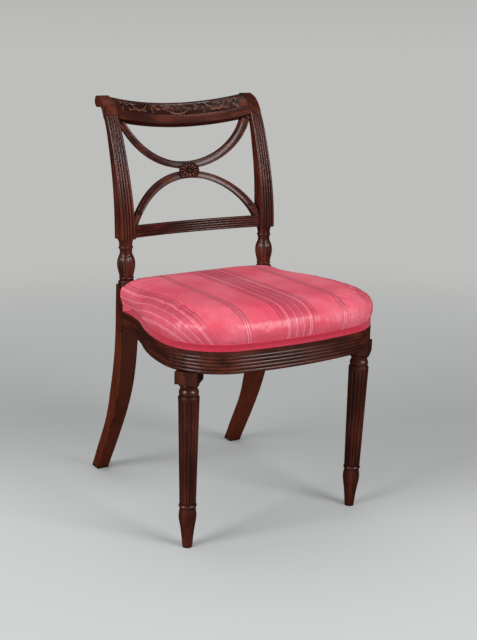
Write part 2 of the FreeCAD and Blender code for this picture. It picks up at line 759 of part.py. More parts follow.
def stay_section():
    up_the_face, backwards = leaning(s.stay_lean)
    top = STAY_EDGE + up_the_face * s.stay_height
    edges = reeded(STAY_EDGE, top, -backwards, STAY_REEDS, s.stay_reed_depth)
    start = edges[0].Vertexes[0].Point
    end = edges[-1].Vertexes[-1].Point
    back_top = top + backwards * s.stay_thickness
    back_bottom = STAY_EDGE + backwards * s.stay_thickness
    return face(edges + [line(end, back_top), line(back_top, back_bottom), line(back_bottom, start)])


def stay_tenons(grow):
    up_the_face, backwards = leaning(s.stay_lean)
    low = STAY_EDGE + backwards * (s.stay_thickness / 2) + up_the_face * (s.stay_tenon_shoulder - grow)
    high = low + up_the_face * (s.stay_height - 2 * s.stay_tenon_shoulder + 2 * grow)
    section = slab_section(low, high, s.stay_tenon_thickness + 2 * grow)
    return bowed(section, STAY_EDGE, s.stay_lean).common(between_stiles(s.stay_tenon_length + grow))


def stay_rail():
    plank = bowed(stay_section(), STAY_EDGE, s.stay_lean).common(between_stiles(-s.glue_line))
    return plank.fuse(stay_tenons(0)).removeSplitter()


# The arcs are sawn from a plank that follows the stiles' curve and the rails' bow. The rosette's
# place and the arcs' sag are shares of the stile's height.
ROSETTE_SHARE = 0.4518
ARC_SAG_SHARE = 0.3874
ROSETTE_Z = s.stile_base + (s.overall_height - s.stile_base) * ROSETTE_SHARE
ARC_SAG = (s.overall_height - s.stile_base) * ARC_SAG_SHARE
ARC_RADIUS = (stile_inner_x(ROSETTE_Z) ** 2 + ARC_SAG ** 2) / (2 * ARC_SAG)
ARC_STATIONS = STILE_STATION_SHARES[:REEDED_STATIONS]
_, ARC_BACKWARDS = leaning(s.arc_lean)
ARC_SHIFT = ARC_BACKWARDS * hollow_at(stile_inner_x(ROSETTE_Z))
ARC_MIDDLE = scroll_place(ARC_STATIONS[3], s.arc_recess) + ARC_SHIFT


def arc_plank(grow):
    far = s.arc_recess + s.arc_thickness
    section = scrolled(ARC_STATIONS, ARC_SHIFT, s.arc_recess - grow, far + grow)
    return bowed(section, ARC_MIDDLE, s.arc_lean)


def arc_band(centre_z, grow):
    """Elevation of one arc, carried through from front to back."""
    start = Vector(0, STILE_FRONT_Y - s.post_depth, centre_z)
    reach = BACKWARDS * (HEEL_Y - start.y)
    outer = Part.makeCylinder(ARC_RADIUS + s.arc_width / 2 + grow, reach.Length, start, BACKWARDS)
    inner = Part.makeCylinder(ARC_RADIUS - s.arc_width / 2 - grow, reach.Length, start, BACKWARDS)
    return outer.cut(inner)


def tablet(grow):
    """Rosette tablet across the arcs where they come closest."""
    below = scroll_place(ARC_STATIONS[2], s.arc_recess) + ARC_SHIFT
    above = ARC_MIDDLE
    y = below.y + (above.y - below.y) * (ROSETTE_Z - below.z) / (above.z - below.z)
    corner = Vector(-s.rosette_width / 2 - grow, -s.rosette_proud - grow, -s.rosette_height / 2 - grow)
    plate = Part.makeBox(
        s.rosette_width + 2 * grow,
        s.rosette_proud + s.rosette_seat + 2 * grow,
        s.rosette_height + 2 * grow,
        corner,
    )
    plate.rotate(ORIGIN, ACROSS, -s.rosette_lean)
    plate.translate(Vector(0, y, ROSETTE_Z))
    if grow:
        return plate
    tongue = Part.makeBox(
        s.rosette_tongue_width,
        s.arc_thickness,
        s.rosette_tongue_height,
        Vector(-s.rosette_tongue_width / 2, y, ROSETTE_Z - s.rosette_tongue_height / 2),
    )
    return plate.fuse(tongue).removeSplitter()


def lower_arc(grow):
    centre_z = ROSETTE_Z - s.arc_spacing / 2 - ARC_RADIUS
    up_the_face, _ = leaning(s.stay_lean)
    seat = STAY_EDGE + up_the_face * (s.stay_height + s.glue_line - grow)
    band = arc_plank(grow).common(arc_band(centre_z, grow))
    band = band.common(beyond_plane(seat, s.stay_lean, True))
    return band.common(between_stiles(s.arc_housing + grow))


def upper_arc(grow):
    centre_z = ROSETTE_Z + s.arc_spacing / 2 + ARC_RADIUS
    up_the_face, _ = leaning(s.crest_lean)
    seat = CREST_EDGE - up_the_face * (s.glue_line - grow)
    band = arc_plank(grow).common(arc_band(centre_z, grow))
    band = band.common(beyond_plane(seat, s.crest_lean, False))
    return band.common(between_stiles(s.arc_housing + grow))


def rear_post():
    post = leg_blank().fuse([baluster(), stile()]).removeSplitter()
    for joint in (
        crest_tenons(s.glue_line),
        stay_tenons(s.glue_line),
        lower_arc(s.glue_line),
        upper_arc(s.glue_line),
        side_tenon(s.glue_line),
        rear_tenon_mortise(),
    ):
        post = post.cut(joint)
    return post


# Front legs: heights up the leg and radii as shares of the leg's length and top radius
LEG_FOOT_SHARES = (
    ((0, 0.47), (0.03, 0.52), (0.12, 0.7), (0.186, 0.85), (0.215, 0.8), (0.232, 0.74)),
    ((0.232, 0.74), (0.243, 0.84), (0.254, 0.74)),
    ((0.254, 0.74), (0.262, 0.8)),
)
LEG_COLLAR_SHARES = (
    ((0.84, 1.0), (0.853, 1.0)),
    ((0.853, 1.0), (0.863, 0.84)),
    ((0.863, 0.84), (0.878, 0.93), (0.893, 0.84)),
    ((0.893, 0.84), (0.905, 0.8), (0.912, 0.86)),
    ((0.912, 0.86), (0.923, 0.97), (0.934, 0.86)),
)
REED_FOOT_RADIUS_SHARE = 0.8


def turned(profile, length, radius):
    edges = []
    for run in profile:
        points = [Vector(radius * r, 0, length * z) for z, r in run]
        if len(points) == 2:
            edges.append(line(*points))
        elif len(points) == 3:
            edges.append(arc(*points))
        else:
            edges.append(curve(points))
    bottom = edges[0].Vertexes[0].Point
    top = edges[-1].Vertexes[-1].Point
    low = Vector(0, 0, bottom.z)
    high = Vector(0, 0, top.z)
    edges += [line(top, high), line(high, low), line(low, bottom)]
    return face(edges).revolve(ORIGIN, UP, 360)


def reeded_ring(radius, height, depth):
    edges = []
    step = 360 / LEG_REEDS
    centre = UP * height
    for index in range(LEG_REEDS):
        low = centre + direction(index * step) * (radius - depth)
        crown = centre + direction((index + 0.5) * step) * radius
        high = centre + direction((index + 1) * step) * (radius - depth)
        edges.append(arc(low, crown, high))
    return Part.Wire(edges)


def front_leg():
    foot = leg_axis(0)
    length = (LEG_TOP - foot).Length
    shaft_bottom = length * LEG_FOOT_SHARES[-1][-1][0]
    shaft_top = length * LEG_COLLAR_SHARES[0][0][0]
    shaft = Part.makeLoft([
        reeded_ring(s.leg_radius * REED_FOOT_RADIUS_SHARE, shaft_bottom, s.leg_reed_depth),
        reeded_ring(s.leg_radius, shaft_top, s.leg_reed_depth),
    ], True, True)
    block_bottom = length * LEG_COLLAR_SHARES[-1][-1][0]
    half = s.leg_block_size / 2
    block = Part.makeBox(s.leg_block_size, s.leg_block_size, length + s.overrun - block_bottom,
                         Vector(-half, -half, block_bottom))
    block.rotate(ORIGIN, UP, 45)
    leg = turned(LEG_FOOT_SHARES, length, s.leg_radius)
    leg = leg.fuse([shaft, turned(LEG_COLLAR_SHARES, length, s.leg_radius), block])
    spike = Part.makeCylinder(s.leg_radius * LEG_FOOT_SHARES[0][0][1], s.overrun, UP * -s.overrun)
    leg = leg.fuse(spike)
    leg.Placement = FreeCAD.Placement(foot, FreeCAD.Rotation(UP, LEG_TOP - foot))
    reach = s.overall_depth
    standing = Part.makeBox(2 * reach, 2 * reach, s.rail_bottom, Vector(-reach, -reach, 0))
    return leg.common(standing).fuse(leg_tenon(0)).removeSplitter()


# Corner blocks and their screws
BLOCK_TOP = RAIL_TOP - s.block_drop
BLOCK_BOTTOM = BLOCK_TOP - s.block_height


def screw(head_centre, aim, grow):
    """A countersunk screw; grown, it is the hole for it, open at the head."""
    aim = Vector(aim).normalize()
    shank = Part.makeCylinder(s.screw_radius + grow, s.screw_length + grow, head_centre, aim)
    head = Part.makeCone(s.screw_head_radius + grow, s.screw_radius + grow,
                         s.screw_head_height, head_centre, aim)
    whole = shank.fuse(head)
    if grow:
        sink = Part.makeCylinder(s.screw_head_radius + grow, s.overrun,
                                 head_centre - aim * s.overrun, aim)
        whole = whole.fuse(sink)
    return whole


def rear_block_outline():
    side_x = RAIL_END_X - s.glue_line
    back_y = REAR_RAIL_FRONT_Y - s.glue_line
    post_y = STILE_FRONT_Y - s.glue_line
    return (
        Vector(side_x, post_y - s.rear_block_side, BLOCK_BOTTOM),
        Vector(side_x, post_y, BLOCK_BOTTOM),
        Vector(POST_INNER_X - s.glue_line, post_y, BLOCK_BOTTOM),
        Vector(POST_INNER_X - s.glue_line, back_y, BLOCK_BOTTOM),
        Vector(side_x - s.rear_block_back, back_y, BLOCK_BOTTOM),
    )


# Where the screws of a corner block start along its inner face, as shares of that face
REAR_SCREW_SHARES = (0.26, 0.56)


def rear_screws():
    outline = rear_block_outline()
    near = outline[0]
    far = outline[-1]
    height = UP * (s.block_height / 2)
    return (
        (near + (far - near) * REAR_SCREW_SHARES[0] + height + ACROSS * s.screw_sink, ACROSS),
        (near + (far - near) * REAR_SCREW_SHARES[1] + height + BACKWARDS * s.screw_sink, BACKWARDS),
    )


# A front corner block stands square to the middle of the corner's turn
FRONT_BLOCK_TURN = -(90 - s.bow_angle) / 2
FRONT_SCREW_SHARE = 0.72


def front_screws():
    inner = CORNER.centre + UP * (BLOCK_BOTTOM + s.block_height / 2)
    radius = s.corner_radius - s.rail_thickness - s.front_block_depth + s.screw_sink
    places = []
    for side in (1, -1):
        aim = direction(FRONT_BLOCK_TURN + side * s.front_block_angle * FRONT_SCREW_SHARE)
        places.append((inner + aim * radius, aim))
    return places


def front_block():
    """A block whose outer face fits the curve inside the corner."""
    outer = s.corner_radius - s.rail_thickness - s.glue_line
    inner = outer - s.front_block_depth
    centre = CORNER.centre + UP * BLOCK_BOTTOM
    first = FRONT_BLOCK_TURN + s.front_block_angle
    last = FRONT_BLOCK_TURN - s.front_block_angle
    edges = [
        arc(centre + direction(first) * outer, centre + direction(FRONT_BLOCK_TURN) * outer,
            centre + direction(last) * outer),
        line(centre + direction(last) * outer, centre + direction(last) * inner),
        arc(centre + direction(last) * inner, centre + direction(FRONT_BLOCK_TURN) * inner,
            centre + direction(first) * inner),
        line(centre + direction(first) * inner, centre + direction(first) * outer),
    ]
    return face(edges).extrude(UP * s.block_height)


def drilled(block, places):
    for head_centre, aim in places:
        block = block.cut(screw(head_centre, aim, s.glue_line))
    return block


# Webbing: strips woven over and under each other, tacked to the tops of the rails
def woven(levels, start, end, pitch, first):
    """Side view of a strip: pairs of a place along it and its height, in steps."""
    path = [(start, 0)]
    for index, level in enumerate(levels):
        middle = first + pitch * index
        half = s.web_width / 2
        if level:
            path += [(middle - half - s.web_step, 0), (middle - half, level),
                     (middle + half, level), (middle + half + s.web_step, 0)]
    path.append((end, 0))
    return path


def strip(path, along, across, centre):
    """A strip of webbing from its side view, centred across its width."""
    low = [centre + along * place + UP * (RAIL_TOP + level) for place, level in path]
    high = [point + UP * s.web_thickness for point in reversed(low)]
    outline = polygon([point - across * (s.web_width / 2) for point in low + high])
    return outline.extrude(across * s.web_width)


# The strips are spread evenly between the posts, and between the front and the rear rail
LAST_WEB_X = POST_INNER_X - s.web_side_gap - s.web_width / 2
FIRST_WEB_Y = FRONT_Y + s.web_first_setback
LAST_WEB_Y = REAR_RAIL_FRONT_Y - s.web_last_gap - s.web_width / 2
WEB_PITCH_ACROSS = 2 * LAST_WEB_X / (WEBS_ALONG - 1)
WEB_PITCH_ALONG = (LAST_WEB_Y - FIRST_WEB_Y) / (WEBS_ACROSS - 1)


def web_place_across(index):
    return index * WEB_PITCH_ACROSS - LAST_WEB_X


def web_place_along(index):
    return FIRST_WEB_Y + index * WEB_PITCH_ALONG


def webbing_area():
    return seat_prism(s.web_margin, RAIL_TOP - s.overrun, RAIL_TOP + s.overrun, REAR_RAIL_BACK_Y)


def strips_along():
    area = webbing_area()
    strips = []
    for number in range(WEBS_ALONG):
        levels = [s.web_thickness * ((number + crossing) % 2) for crossing in range(WEBS_ACROSS)]
        path = woven(levels, FRONT_Y - s.overrun, REAR_RAIL_BACK_Y + s.overrun,
                     WEB_PITCH_ALONG, FIRST_WEB_Y)
        strips.append(strip(path, BACKWARDS, ACROSS, ACROSS * web_place_across(number)).common(area))
    return strips


def strips_across():
    area = webbing_area()
    reach = s.seat_half_span + s.side_flare + s.overrun
    strips = []
    for number in range(WEBS_ACROSS):
        levels = [s.web_thickness * ((number + crossing + 1) % 2) for crossing in range(WEBS_ALONG)]
        path = woven(levels, -reach, reach, WEB_PITCH_ACROSS, -LAST_WEB_X)
        strips.append(strip(path, ACROSS, BACKWARDS, BACKWARDS * web_place_along(number)).common(area))
    return strips


def edge_crossings(origin, along):
    """Where a line over the seat meets the line of the tacks."""
    wire = seat_outline(s.tack_inset, 0, REAR_RAIL_BACK_Y + s.rail_rebate_depth)
    reach = along * s.overall_depth
    ray = line(origin - reach, origin + reach)
    meetings = wire.distToShape(ray)[1]
    points = [pair[0] for pair in meetings]
    return sorted(points, key=lambda point: point.dot(along))


def tack_places():
    places = []
    for number in range(WEBS_ALONG):
        for index in range(TACKS_PER_END):
            x = web_place_across(number) + (index - (TACKS_PER_END - 1) / 2) * s.tack_spacing
            ends = edge_crossings(ACROSS * x, BACKWARDS)
            places += [ends[0], ends[-1]]
    for number in range(WEBS_ACROSS):
        for index in range(TACKS_PER_END):
            y = web_place_along(number) + (index - (TACKS_PER_END - 1) / 2) * s.tack_spacing
            ends = edge_crossings(BACKWARDS * y, ACROSS)
            places += [ends[0], ends[-1]]
    return places


def tack(place, grow):
    top = Vector(place.x, place.y, RAIL_TOP + s.web_thickness)
    shank = Part.makeCylinder(s.tack_radius + grow, s.tack_length + grow, top, UP * -1)
    if grow:
        return shank
    return shank.fuse(Part.makeCylinder(s.tack_head_radius, s.tack_head_height, top, UP))


# The upholstered seat. Each row is a share of the crown's height and of its inset.
CROWN_SHARES = (
    (0, 0), (0.13, -0.03), (0.3, -0.055), (0.5, -0.06), (0.67, -0.03), (0.8, 0.045), (0.895, 0.18),
    (0.952, 0.37), (0.985, 0.65), (1.0, 1.0),
)
SEAT_BACK_Y = REAR_RAIL_BACK_Y + s.rail_rebate_depth
CANVAS_TOP = RAIL_TOP + 2 * s.web_thickness + s.canvas_thickness
SKIRT_INSET = s.rail_rebate_depth - s.cover_gap - s.cover_thickness
CROWN_BASE = SHELF + s.tape_height + 2 * s.cover_gap


def crown_section(inset, bottom, overlap):
    """Outward is +X: the skirt, the roll over the tape and the slope up to the flat middle."""
    edge = -SKIRT_INSET - inset
    height = s.crown_height - inset
    points = [
        Vector(edge - s.crown_inset * draw, 0, CROWN_BASE + height * rise)
        for rise, draw in CROWN_SHARES
    ]
    inner_top = points[-1] - ACROSS * overlap
    inner_bottom = Vector(inner_top.x, 0, bottom)
    outer_bottom = Vector(edge, 0, bottom)
    return face([
        line(outer_bottom, points[0]),
        curve(points),
        line(points[-1], inner_top),
        line(inner_top, inner_bottom),
        line(inner_bottom, outer_bottom),
    ])


def crowned(inset, bottom):
    """The seat's crowned body, drawn in all round by an inset."""
    section = crown_section(inset, bottom, s.cover_thickness)
    beyond = HEEL_Y
    half = joined([swept(section, run) for run in (side_run(beyond), WAIST, BULGE, CORNER, BOW)])
    middle = seat_prism(SKIRT_INSET + inset + s.crown_inset, bottom, CROWN_BASE + s.crown_height - inset,
                        beyond)
    body = joined([half, mirrored(half), middle])
    rear = crown_section(inset, bottom, s.overall_depth)
    rear.rotate(ORIGIN, UP, 90)
    rear.translate(Vector(-s.overall_depth, SEAT_BACK_Y, 0))
    return body.common(rear.extrude(ACROSS * (2 * s.overall_depth)))


def around_posts(gap):
    """The space that both posts take out of the upholstery."""
    front = STILE_FRONT_Y - gap
    inner = POST_INNER_X - gap
    low = s.rail_bottom - s.overrun
    width = s.joint_width + s.overrun
    beside_block = Part.makeBox(width, s.heel_reach, s.block_top - low, Vector(inner, front, low))
    beside_block = beside_block.common(post_front_wedge(gap))
    front -= s.baluster_radius - s.post_depth / 2
    beside_turning = Part.makeBox(width, s.heel_reach, s.overrun, Vector(inner, front, s.block_top - gap))
    room = beside_block.fuse(beside_turning)
    return room.fuse(mirrored(room))


def silk_cover():
    outer = crowned(0, SHELF + s.cover_gap).cut(around_posts(s.cover_gap))
    inner = crowned(s.cover_thickness, SHELF - s.overrun)
    inner = inner.cut(around_posts(s.cover_gap + s.cover_thickness))
    frame_room = seat_prism(SKIRT_INSET + s.cover_thickness, SHELF - s.overrun,
                            RAIL_TOP + s.cover_gap, SEAT_BACK_Y)
    return outer.cut(inner).cut(frame_room)


def stuffing():
    inset = s.cover_thickness + 2 * s.cover_gap
    body = crowned(inset, SHELF).cut(around_posts(s.cover_gap + inset))
    below = seat_prism(0, SHELF - s.overrun, CANVAS_TOP, SEAT_BACK_Y)
    return body.cut(below)


def canvas():
    bottom = RAIL_TOP + 2 * s.web_thickness
    sheet_of_canvas = seat_prism(s.web_margin, bottom, CANVAS_TOP, REAR_RAIL_BACK_Y)
    return sheet_of_canvas.cut(around_posts(s.cover_gap + s.cover_thickness + s.cover_gap))


def trim_tape():
    outer = -(SKIRT_INSET - s.cover_gap - s.tape_thickness)
    inner = outer - s.tape_thickness
    low = SHELF + s.cover_gap
    high = low + s.tape_height
    section = polygon((
        Vector(inner, 0, low),
        Vector(outer, 0, low),
        Vector(outer, 0, high),
        Vector(inner, 0, high),
    ))
    runs = [side_run(STILE_FRONT_Y - s.cover_gap), WAIST, BULGE, CORNER, BOW]
    half = joined([swept(section, run) for run in runs])
    return half.fuse(mirrored(half)).removeSplitter()


# Assembly of the sub-parts
nodes = []


def keep(item):
    nodes.append(item)
    return item


def keep_pair(label, right_shape):
    keep(piece(label + "_right", right_shape))
    keep(piece(label + "_left", mirrored(right_shape)))


def with_tack_holes(shape, places):
    holes = [tack(place, s.glue_line / 2) for place in places]
    return shape.cut(holes)


tacks = tack_places()
seat_screws = list(rear_screws()) + list(front_screws())

keep_pair("rear_post", rear_post())
keep(piece("crest_rail", crest_rail()))
keep(piece("stay_rail", stay_rail()))
keep(piece("upper_arc", upper_arc(0).cut(tablet(s.glue_line))))
keep(piece("lower_arc", lower_arc(0).cut(tablet(s.glue_line))))
keep(piece("arc_rosette", tablet(0)))

keep_pair("side_seat_rail", with_tack_holes(drilled(side_rail(), seat_screws), tacks))
screws_both_sides = seat_screws + [
    (Vector(-head.x, head.y, head.z), Vector(-aim.x, aim.y, aim.z)) for head, aim in seat_screws
]
keep(piece("front_seat_rail", with_tack_holes(drilled(front_rail(), screws_both_sides), tacks)))
rear_blank = rear_rail()
doc.recompute()
keep(piece("rear_seat_rail", with_tack_holes(drilled(rear_blank.Shape, screws_both_sides), tacks)))

keep_pair("front_leg", front_leg())
rear_corner = polygon(rear_block_outline()).extrude(UP * s.block_height)
keep_pair("corner_block_rear", drilled(rear_corner, rear_screws()))
keep_pair("corner_block_front", drilled(front_block(), front_screws()))
right_screws = [screw(head_centre, aim, 0) for head_centre, aim in seat_screws]
left_screws = [mirrored(fixing) for fixing in right_screws]
keep(piece("corner_block_screws", Part.makeCompound(right_screws + left_screws)))

keep(piece("seat_webbing_along", with_tack_holes(Part.makeCompound(strips_along()), tacks)))
keep(piece("seat_webbing_across", with_tack_holes(Part.makeCompound(strips_across()), tacks)))
keep(piece("webbing_tacks", Part.makeCompound([tack(place, 0) for place in tacks])))
keep(piece("seat_canvas", canvas()))
keep(piece("seat_stuffing", stuffing()))
keep(piece("seat_cover", silk_cover()))
keep(piece("seat_trim_tape", trim_tape()))

doc.recompute()
for item in doc.Objects:
    if "Invalid" in item.State or "Error" in item.State:
        raise RuntimeError(f"{item.Name} could not be built")
os.makedirs("parts", exist_ok=True)
for item in nodes:
    if item.Shape.isNull() or not item.Shape.isValid():
        raise RuntimeError(f"{item.Label} has no valid solid")
for item in nodes:
    item.Shape.exportStep(f"parts/{item.Label}.step")
    print(item.Label, len(item.Shape.Solids), "solid(s)", round(item.Shape.Volume), "mm3")
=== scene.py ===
import math

import bmesh
import bpy
import numpy as np
from mathutils import Matrix, Vector, kdtree, noise


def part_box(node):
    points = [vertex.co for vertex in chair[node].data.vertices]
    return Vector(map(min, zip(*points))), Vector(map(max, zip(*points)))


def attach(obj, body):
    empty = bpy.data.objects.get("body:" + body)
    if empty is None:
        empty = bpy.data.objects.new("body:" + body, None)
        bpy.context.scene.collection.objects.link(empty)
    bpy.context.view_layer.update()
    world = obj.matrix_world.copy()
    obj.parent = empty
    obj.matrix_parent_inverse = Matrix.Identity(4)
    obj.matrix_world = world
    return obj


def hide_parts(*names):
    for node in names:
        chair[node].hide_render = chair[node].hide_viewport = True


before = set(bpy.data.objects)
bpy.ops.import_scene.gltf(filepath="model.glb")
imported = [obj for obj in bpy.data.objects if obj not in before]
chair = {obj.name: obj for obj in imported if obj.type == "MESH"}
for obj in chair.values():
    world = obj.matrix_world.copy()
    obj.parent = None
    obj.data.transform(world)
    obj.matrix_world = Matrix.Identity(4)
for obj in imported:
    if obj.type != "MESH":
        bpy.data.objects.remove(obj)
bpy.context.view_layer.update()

UP = Vector((0, 0, 1))
ACROSS = Vector((1, 0, 0))
BACKWARDS = Vector((0, 1, 0))


# The studio: a camera in front of the chair and to its left, a little higher than the back.
# Angles are degrees, lengths are metres.
CAMERA_PLACE = Vector((-1.036, -1.8014, 0.9068))
CAMERA_TURN = -30.6
CAMERA_DIP = 14.3
CAMERA_ROLL = 0.2
LENS = 59.26

turn, dip, roll = (math.radians(a) for a in (CAMERA_TURN, CAMERA_DIP, CAMERA_ROLL))
camera_data = bpy.data.cameras.new("camera")
camera_data.lens = LENS
camera_data.sensor_width = 36
camera = bpy.data.objects.new("camera", camera_data)
camera.matrix_world = (
    Matrix.Translation(CAMERA_PLACE) @ Matrix.Rotation(turn, 4, "Z")
    @ Matrix.Rotation(math.pi / 2 - dip, 4, "X") @ Matrix.Rotation(roll, 4, "Z"))
scene = bpy.context.scene
scene.collection.objects.link(camera)
scene.camera = camera
scene.view_settings.view_transform = "Standard"


# Two soft boxes throw the paired shadows, one before the chair and one at its left, and a weak
# one above fills them. Each row is a place, a width and a power in watts.
AIM = Vector((0, 0, 0.45))
SOFT_BOXES = {
    "front_light": ((1.1, -2.9, 2.1), 1.3, 68),
    "left_light": ((-3.0, -0.5, 2.0), 1.3, 66),
    "top_light": ((-0.3, 0.6, 3.2), 2.2, 14),
}
for name, (place, width, power) in SOFT_BOXES.items():
    lamp = bpy.data.lights.new(name, "AREA")
    lamp.size = width
    lamp.energy = power
    light = bpy.data.objects.new(name, lamp)
    light.matrix_world = Matrix.Translation(place) @ (
        (Vector(place) - AIM).to_track_quat("Z", "Y").to_matrix().to_4x4())
    light.visible_camera = False
    scene.collection.objects.link(light)


def math_node(operation, swapped=False):
    """A method that adds a Math node for its field and any other value."""
    def method(field, *others):
        values = (*others, field) if swapped else (field, *others)
        return field.finish.node("ShaderNodeMath", {"operation": operation}, dict(enumerate(values)))
    return method


class Field:
    """A number that changes over a surface. Sums and products of fields add Math nodes."""

    __add__ = __radd__ = math_node("ADD")
    __sub__ = math_node("SUBTRACT")
    __rsub__ = math_node("SUBTRACT", swapped=True)
    __mul__ = __rmul__ = math_node("MULTIPLY")
    __truediv__ = math_node("DIVIDE")
    __abs__ = math_node("ABSOLUTE")
    sine = math_node("SINE")
    fraction = math_node("FRACT")

    def __init__(self, finish, socket):
        self.finish = finish
        self.socket = socket

    def ramp(self, low, high, start=0.0, end=1.0):
        """Rises smoothly from start to end while the field goes from low to high."""
        values = {"Value": self, "From Min": low, "From Max": high, "To Min": start, "To Max": end}
        return self.finish.node("ShaderNodeMapRange", {"interpolation_type": "SMOOTHSTEP"}, values)


class Finish:
    """Procedural nodes: of a material that ends in one principled shader, or of a world."""

    def __init__(self, name, world=None):
        self.material = world or bpy.data.materials.new(name)
        self.material.use_nodes = True
        self.tree = self.material.node_tree
        self.shader = self.tree.nodes.get("Principled BSDF")
        coordinates = self.tree.nodes.new("ShaderNodeTexCoord")
        self.place = coordinates.outputs["Object"]
        self.cloth_place = coordinates.outputs["UV"]
        self.direction = coordinates.outputs["Generated"]

    def link(self, value, target):
        if isinstance(value, Field):
            value = value.socket
        if isinstance(value, bpy.types.NodeSocket):
            self.tree.links.new(value, target)
        else:
            target.default_value = value

    def node(self, kind, settings, values, output=0):
        item = self.tree.nodes.new(kind)
        for name, value in settings.items():
            setattr(item, name, value)
        for name, value in values.items():
            self.link(value, item.inputs[name])
        return Field(self, item.outputs[output])

    def axis(self, name, vector=None):
        """One coordinate of a vector, or of the place in the object."""
        return self.node("ShaderNodeSeparateXYZ", {}, {"Vector": vector or self.place}, name)

    def cloud(self, scale, detail=2.0, distortion=0.0, start=None):
        """Noise. A scale of three numbers stretches it along each axis."""
        place = start or self.place
        if isinstance(scale, (tuple, list)):
            place = self.node("ShaderNodeMapping", {"vector_type": "POINT"},
                              {"Vector": place, "Scale": scale})
            scale = 1.0
        values = {"Vector": place, "Scale": scale, "Detail": detail, "Distortion": distortion}
        return self.node("ShaderNodeTexNoise", {}, values)

    def colours(self, amount, stops):
        """A ramp of colours; each stop is a place and a colour."""
        result = self.node("ShaderNodeValToRGB", {}, {"Fac": amount})
        marks = result.socket.node.color_ramp.elements
        while len(marks) < len(stops):
            marks.new(1.0)
        for mark, (position, colour) in zip(marks, stops):
            mark.position = position
            mark.color = (*colour, 1.0)
        return result

    def blend(self, amount, first, second):
        first, second = ((*c, 1.0) if isinstance(c, tuple) else c for c in (first, second))
        return self.node("ShaderNodeMix", {"data_type": "RGBA"}, {0: amount, 6: first, 7: second}, 2)

    def set(self, **sockets):
        for name, value in sockets.items():
            self.link(value, self.shader.inputs[name.replace("_", " ")])

    def emboss(self, height, distance, under=None):
        values = {"Height": height, "Distance": distance, "Strength": 1.0}
        if under is not None:
            values["Normal"] = under
        return self.node("ShaderNodeBump", {}, values)

    def vector_math(self, operation, values, output=0):
        return self.node("ShaderNodeVectorMath", {"operation": operation}, values, output)

    def for_rays(self, kind, usual, special):
        """A shader that gives way to another for one kind of ray."""
        rays = self.node("ShaderNodeLightPath", {}, {}, kind)
        return self.node("ShaderNodeMixShader", {}, {"Fac": rays, 1: usual, 2: special})


# The floor is pale grey paper whose colour darkens behind the chair as painted shade, and far away it
# glows with the even grey of the backdrop, a little darker behind the chair as painted shade. The
# polish reflects a dimmer room than the camera sees.
SKY_HORIZON = 0.517
SKY_TOP = 0.40
SKY_FADE = 0.14
SKY_TINT = (1.0, 1.01, 0.985)
FLOOR_TINT = (0.985, 1.02, 1.01)
FLOOR_GREY = 0.525
SHADE_GREY = 0.425
ROOM_LIGHT = (0.50, 0.50, 0.50)
ROOM_SHINE = (0.035, 0.035, 0.035)
FLOOR_SHINE_BEFORE = 0.17
FLOOR_SHINE_BEHIND = 0.010
FLOOR_REACH = 30.0
FADE_START = 1.0
FADE_END = 2.6
SIGHT = Vector((0.509, 0.861, 0))
SHADE_SLANT = Vector((0.767, 0.708, 0))


def as_object(name, shape):
    """Puts a shape in the scene."""
    mesh = bpy.data.meshes.new(name)
    shape.to_mesh(mesh)
    shape.free()
    item = bpy.data.objects.new(name, mesh)
    scene.collection.objects.link(item)
    return item


def add_floor():
    shape = bmesh.new()
    bmesh.ops.create_circle(shape, cap_ends=True, segments=96, radius=FLOOR_REACH)
    floor = as_object("floor", shape)
    paper = Finish("floor_paper")
    away = paper.vector_math("LENGTH", {0: paper.place}, "Value")
    behind, shaded = (paper.vector_math("DOT_PRODUCT", {0: paper.place, 1: way}, "Value")
                      for way in (SIGHT, SHADE_SLANT))
    # Painted shade: the paper's colour darkens in a band behind the chair.
    shade = shaded.ramp(-0.15, 0.40, 0.0, FLOOR_GREY - SHADE_GREY)
    near_grey = FLOOR_GREY - shade * (1 - behind.ramp(0.5, 1.7))
    paper.set(Base_Color=paper.vector_math("SCALE", {0: FLOOR_TINT, "Scale": near_grey}),
              Roughness=0.9, Specular_IOR_Level=0.1)
    # The far glow is a little darker behind the chair: painted shade.
    far_grey = SKY_HORIZON - (1 - behind.ramp(0.2, 2.4)) * shaded.ramp(-0.9, -0.1, 0.0, 0.09)
    glow = paper.node("ShaderNodeEmission", {}, {
        "Color": paper.vector_math("SCALE", {0: SKY_TINT, "Scale": far_grey})})
    whole = paper.node("ShaderNodeMixShader", {}, {
        "Fac": away.ramp(FADE_START, FADE_END), 1: paper.shader.outputs[0], 2: glow})
    dim = paper.node("ShaderNodeEmission", {}, {
        "Color": behind.ramp(-1.3, 0.1, FLOOR_SHINE_BEFORE, FLOOR_SHINE_BEHIND)})
    whole = paper.for_rays("Is Glossy Ray", whole, dim)
    paper.link(whole, paper.tree.nodes["Material Output"].inputs["Surface"])
    floor.data.materials.append(paper.material)


def add_room():
    room = Finish("room", bpy.data.worlds.new("room"))
    scene.world = room.material
    light = room.tree.nodes["Background"]
    light.inputs["Color"].default_value = (*ROOM_LIGHT, 1)
    grey = room.node("ShaderNodeMapRange", {}, {
        "Value": room.axis("Z", room.direction), "From Min": 0, "From Max": SKY_FADE,
        "To Min": SKY_HORIZON, "To Max": SKY_TOP})
    sky = room.vector_math("SCALE", {0: SKY_TINT, "Scale": grey})
    seen = room.node("ShaderNodeBackground", {}, {"Color": sky})
    shine = room.node("ShaderNodeBackground", {}, {"Color": (*ROOM_SHINE, 1)})
    whole = room.for_rays("Is Camera Ray", light.outputs[0], seen)
    whole = room.for_rays("Is Glossy Ray", whole, shine)
    room.link(whole, room.tree.nodes["World Output"].inputs["Surface"])


add_floor()
add_room()


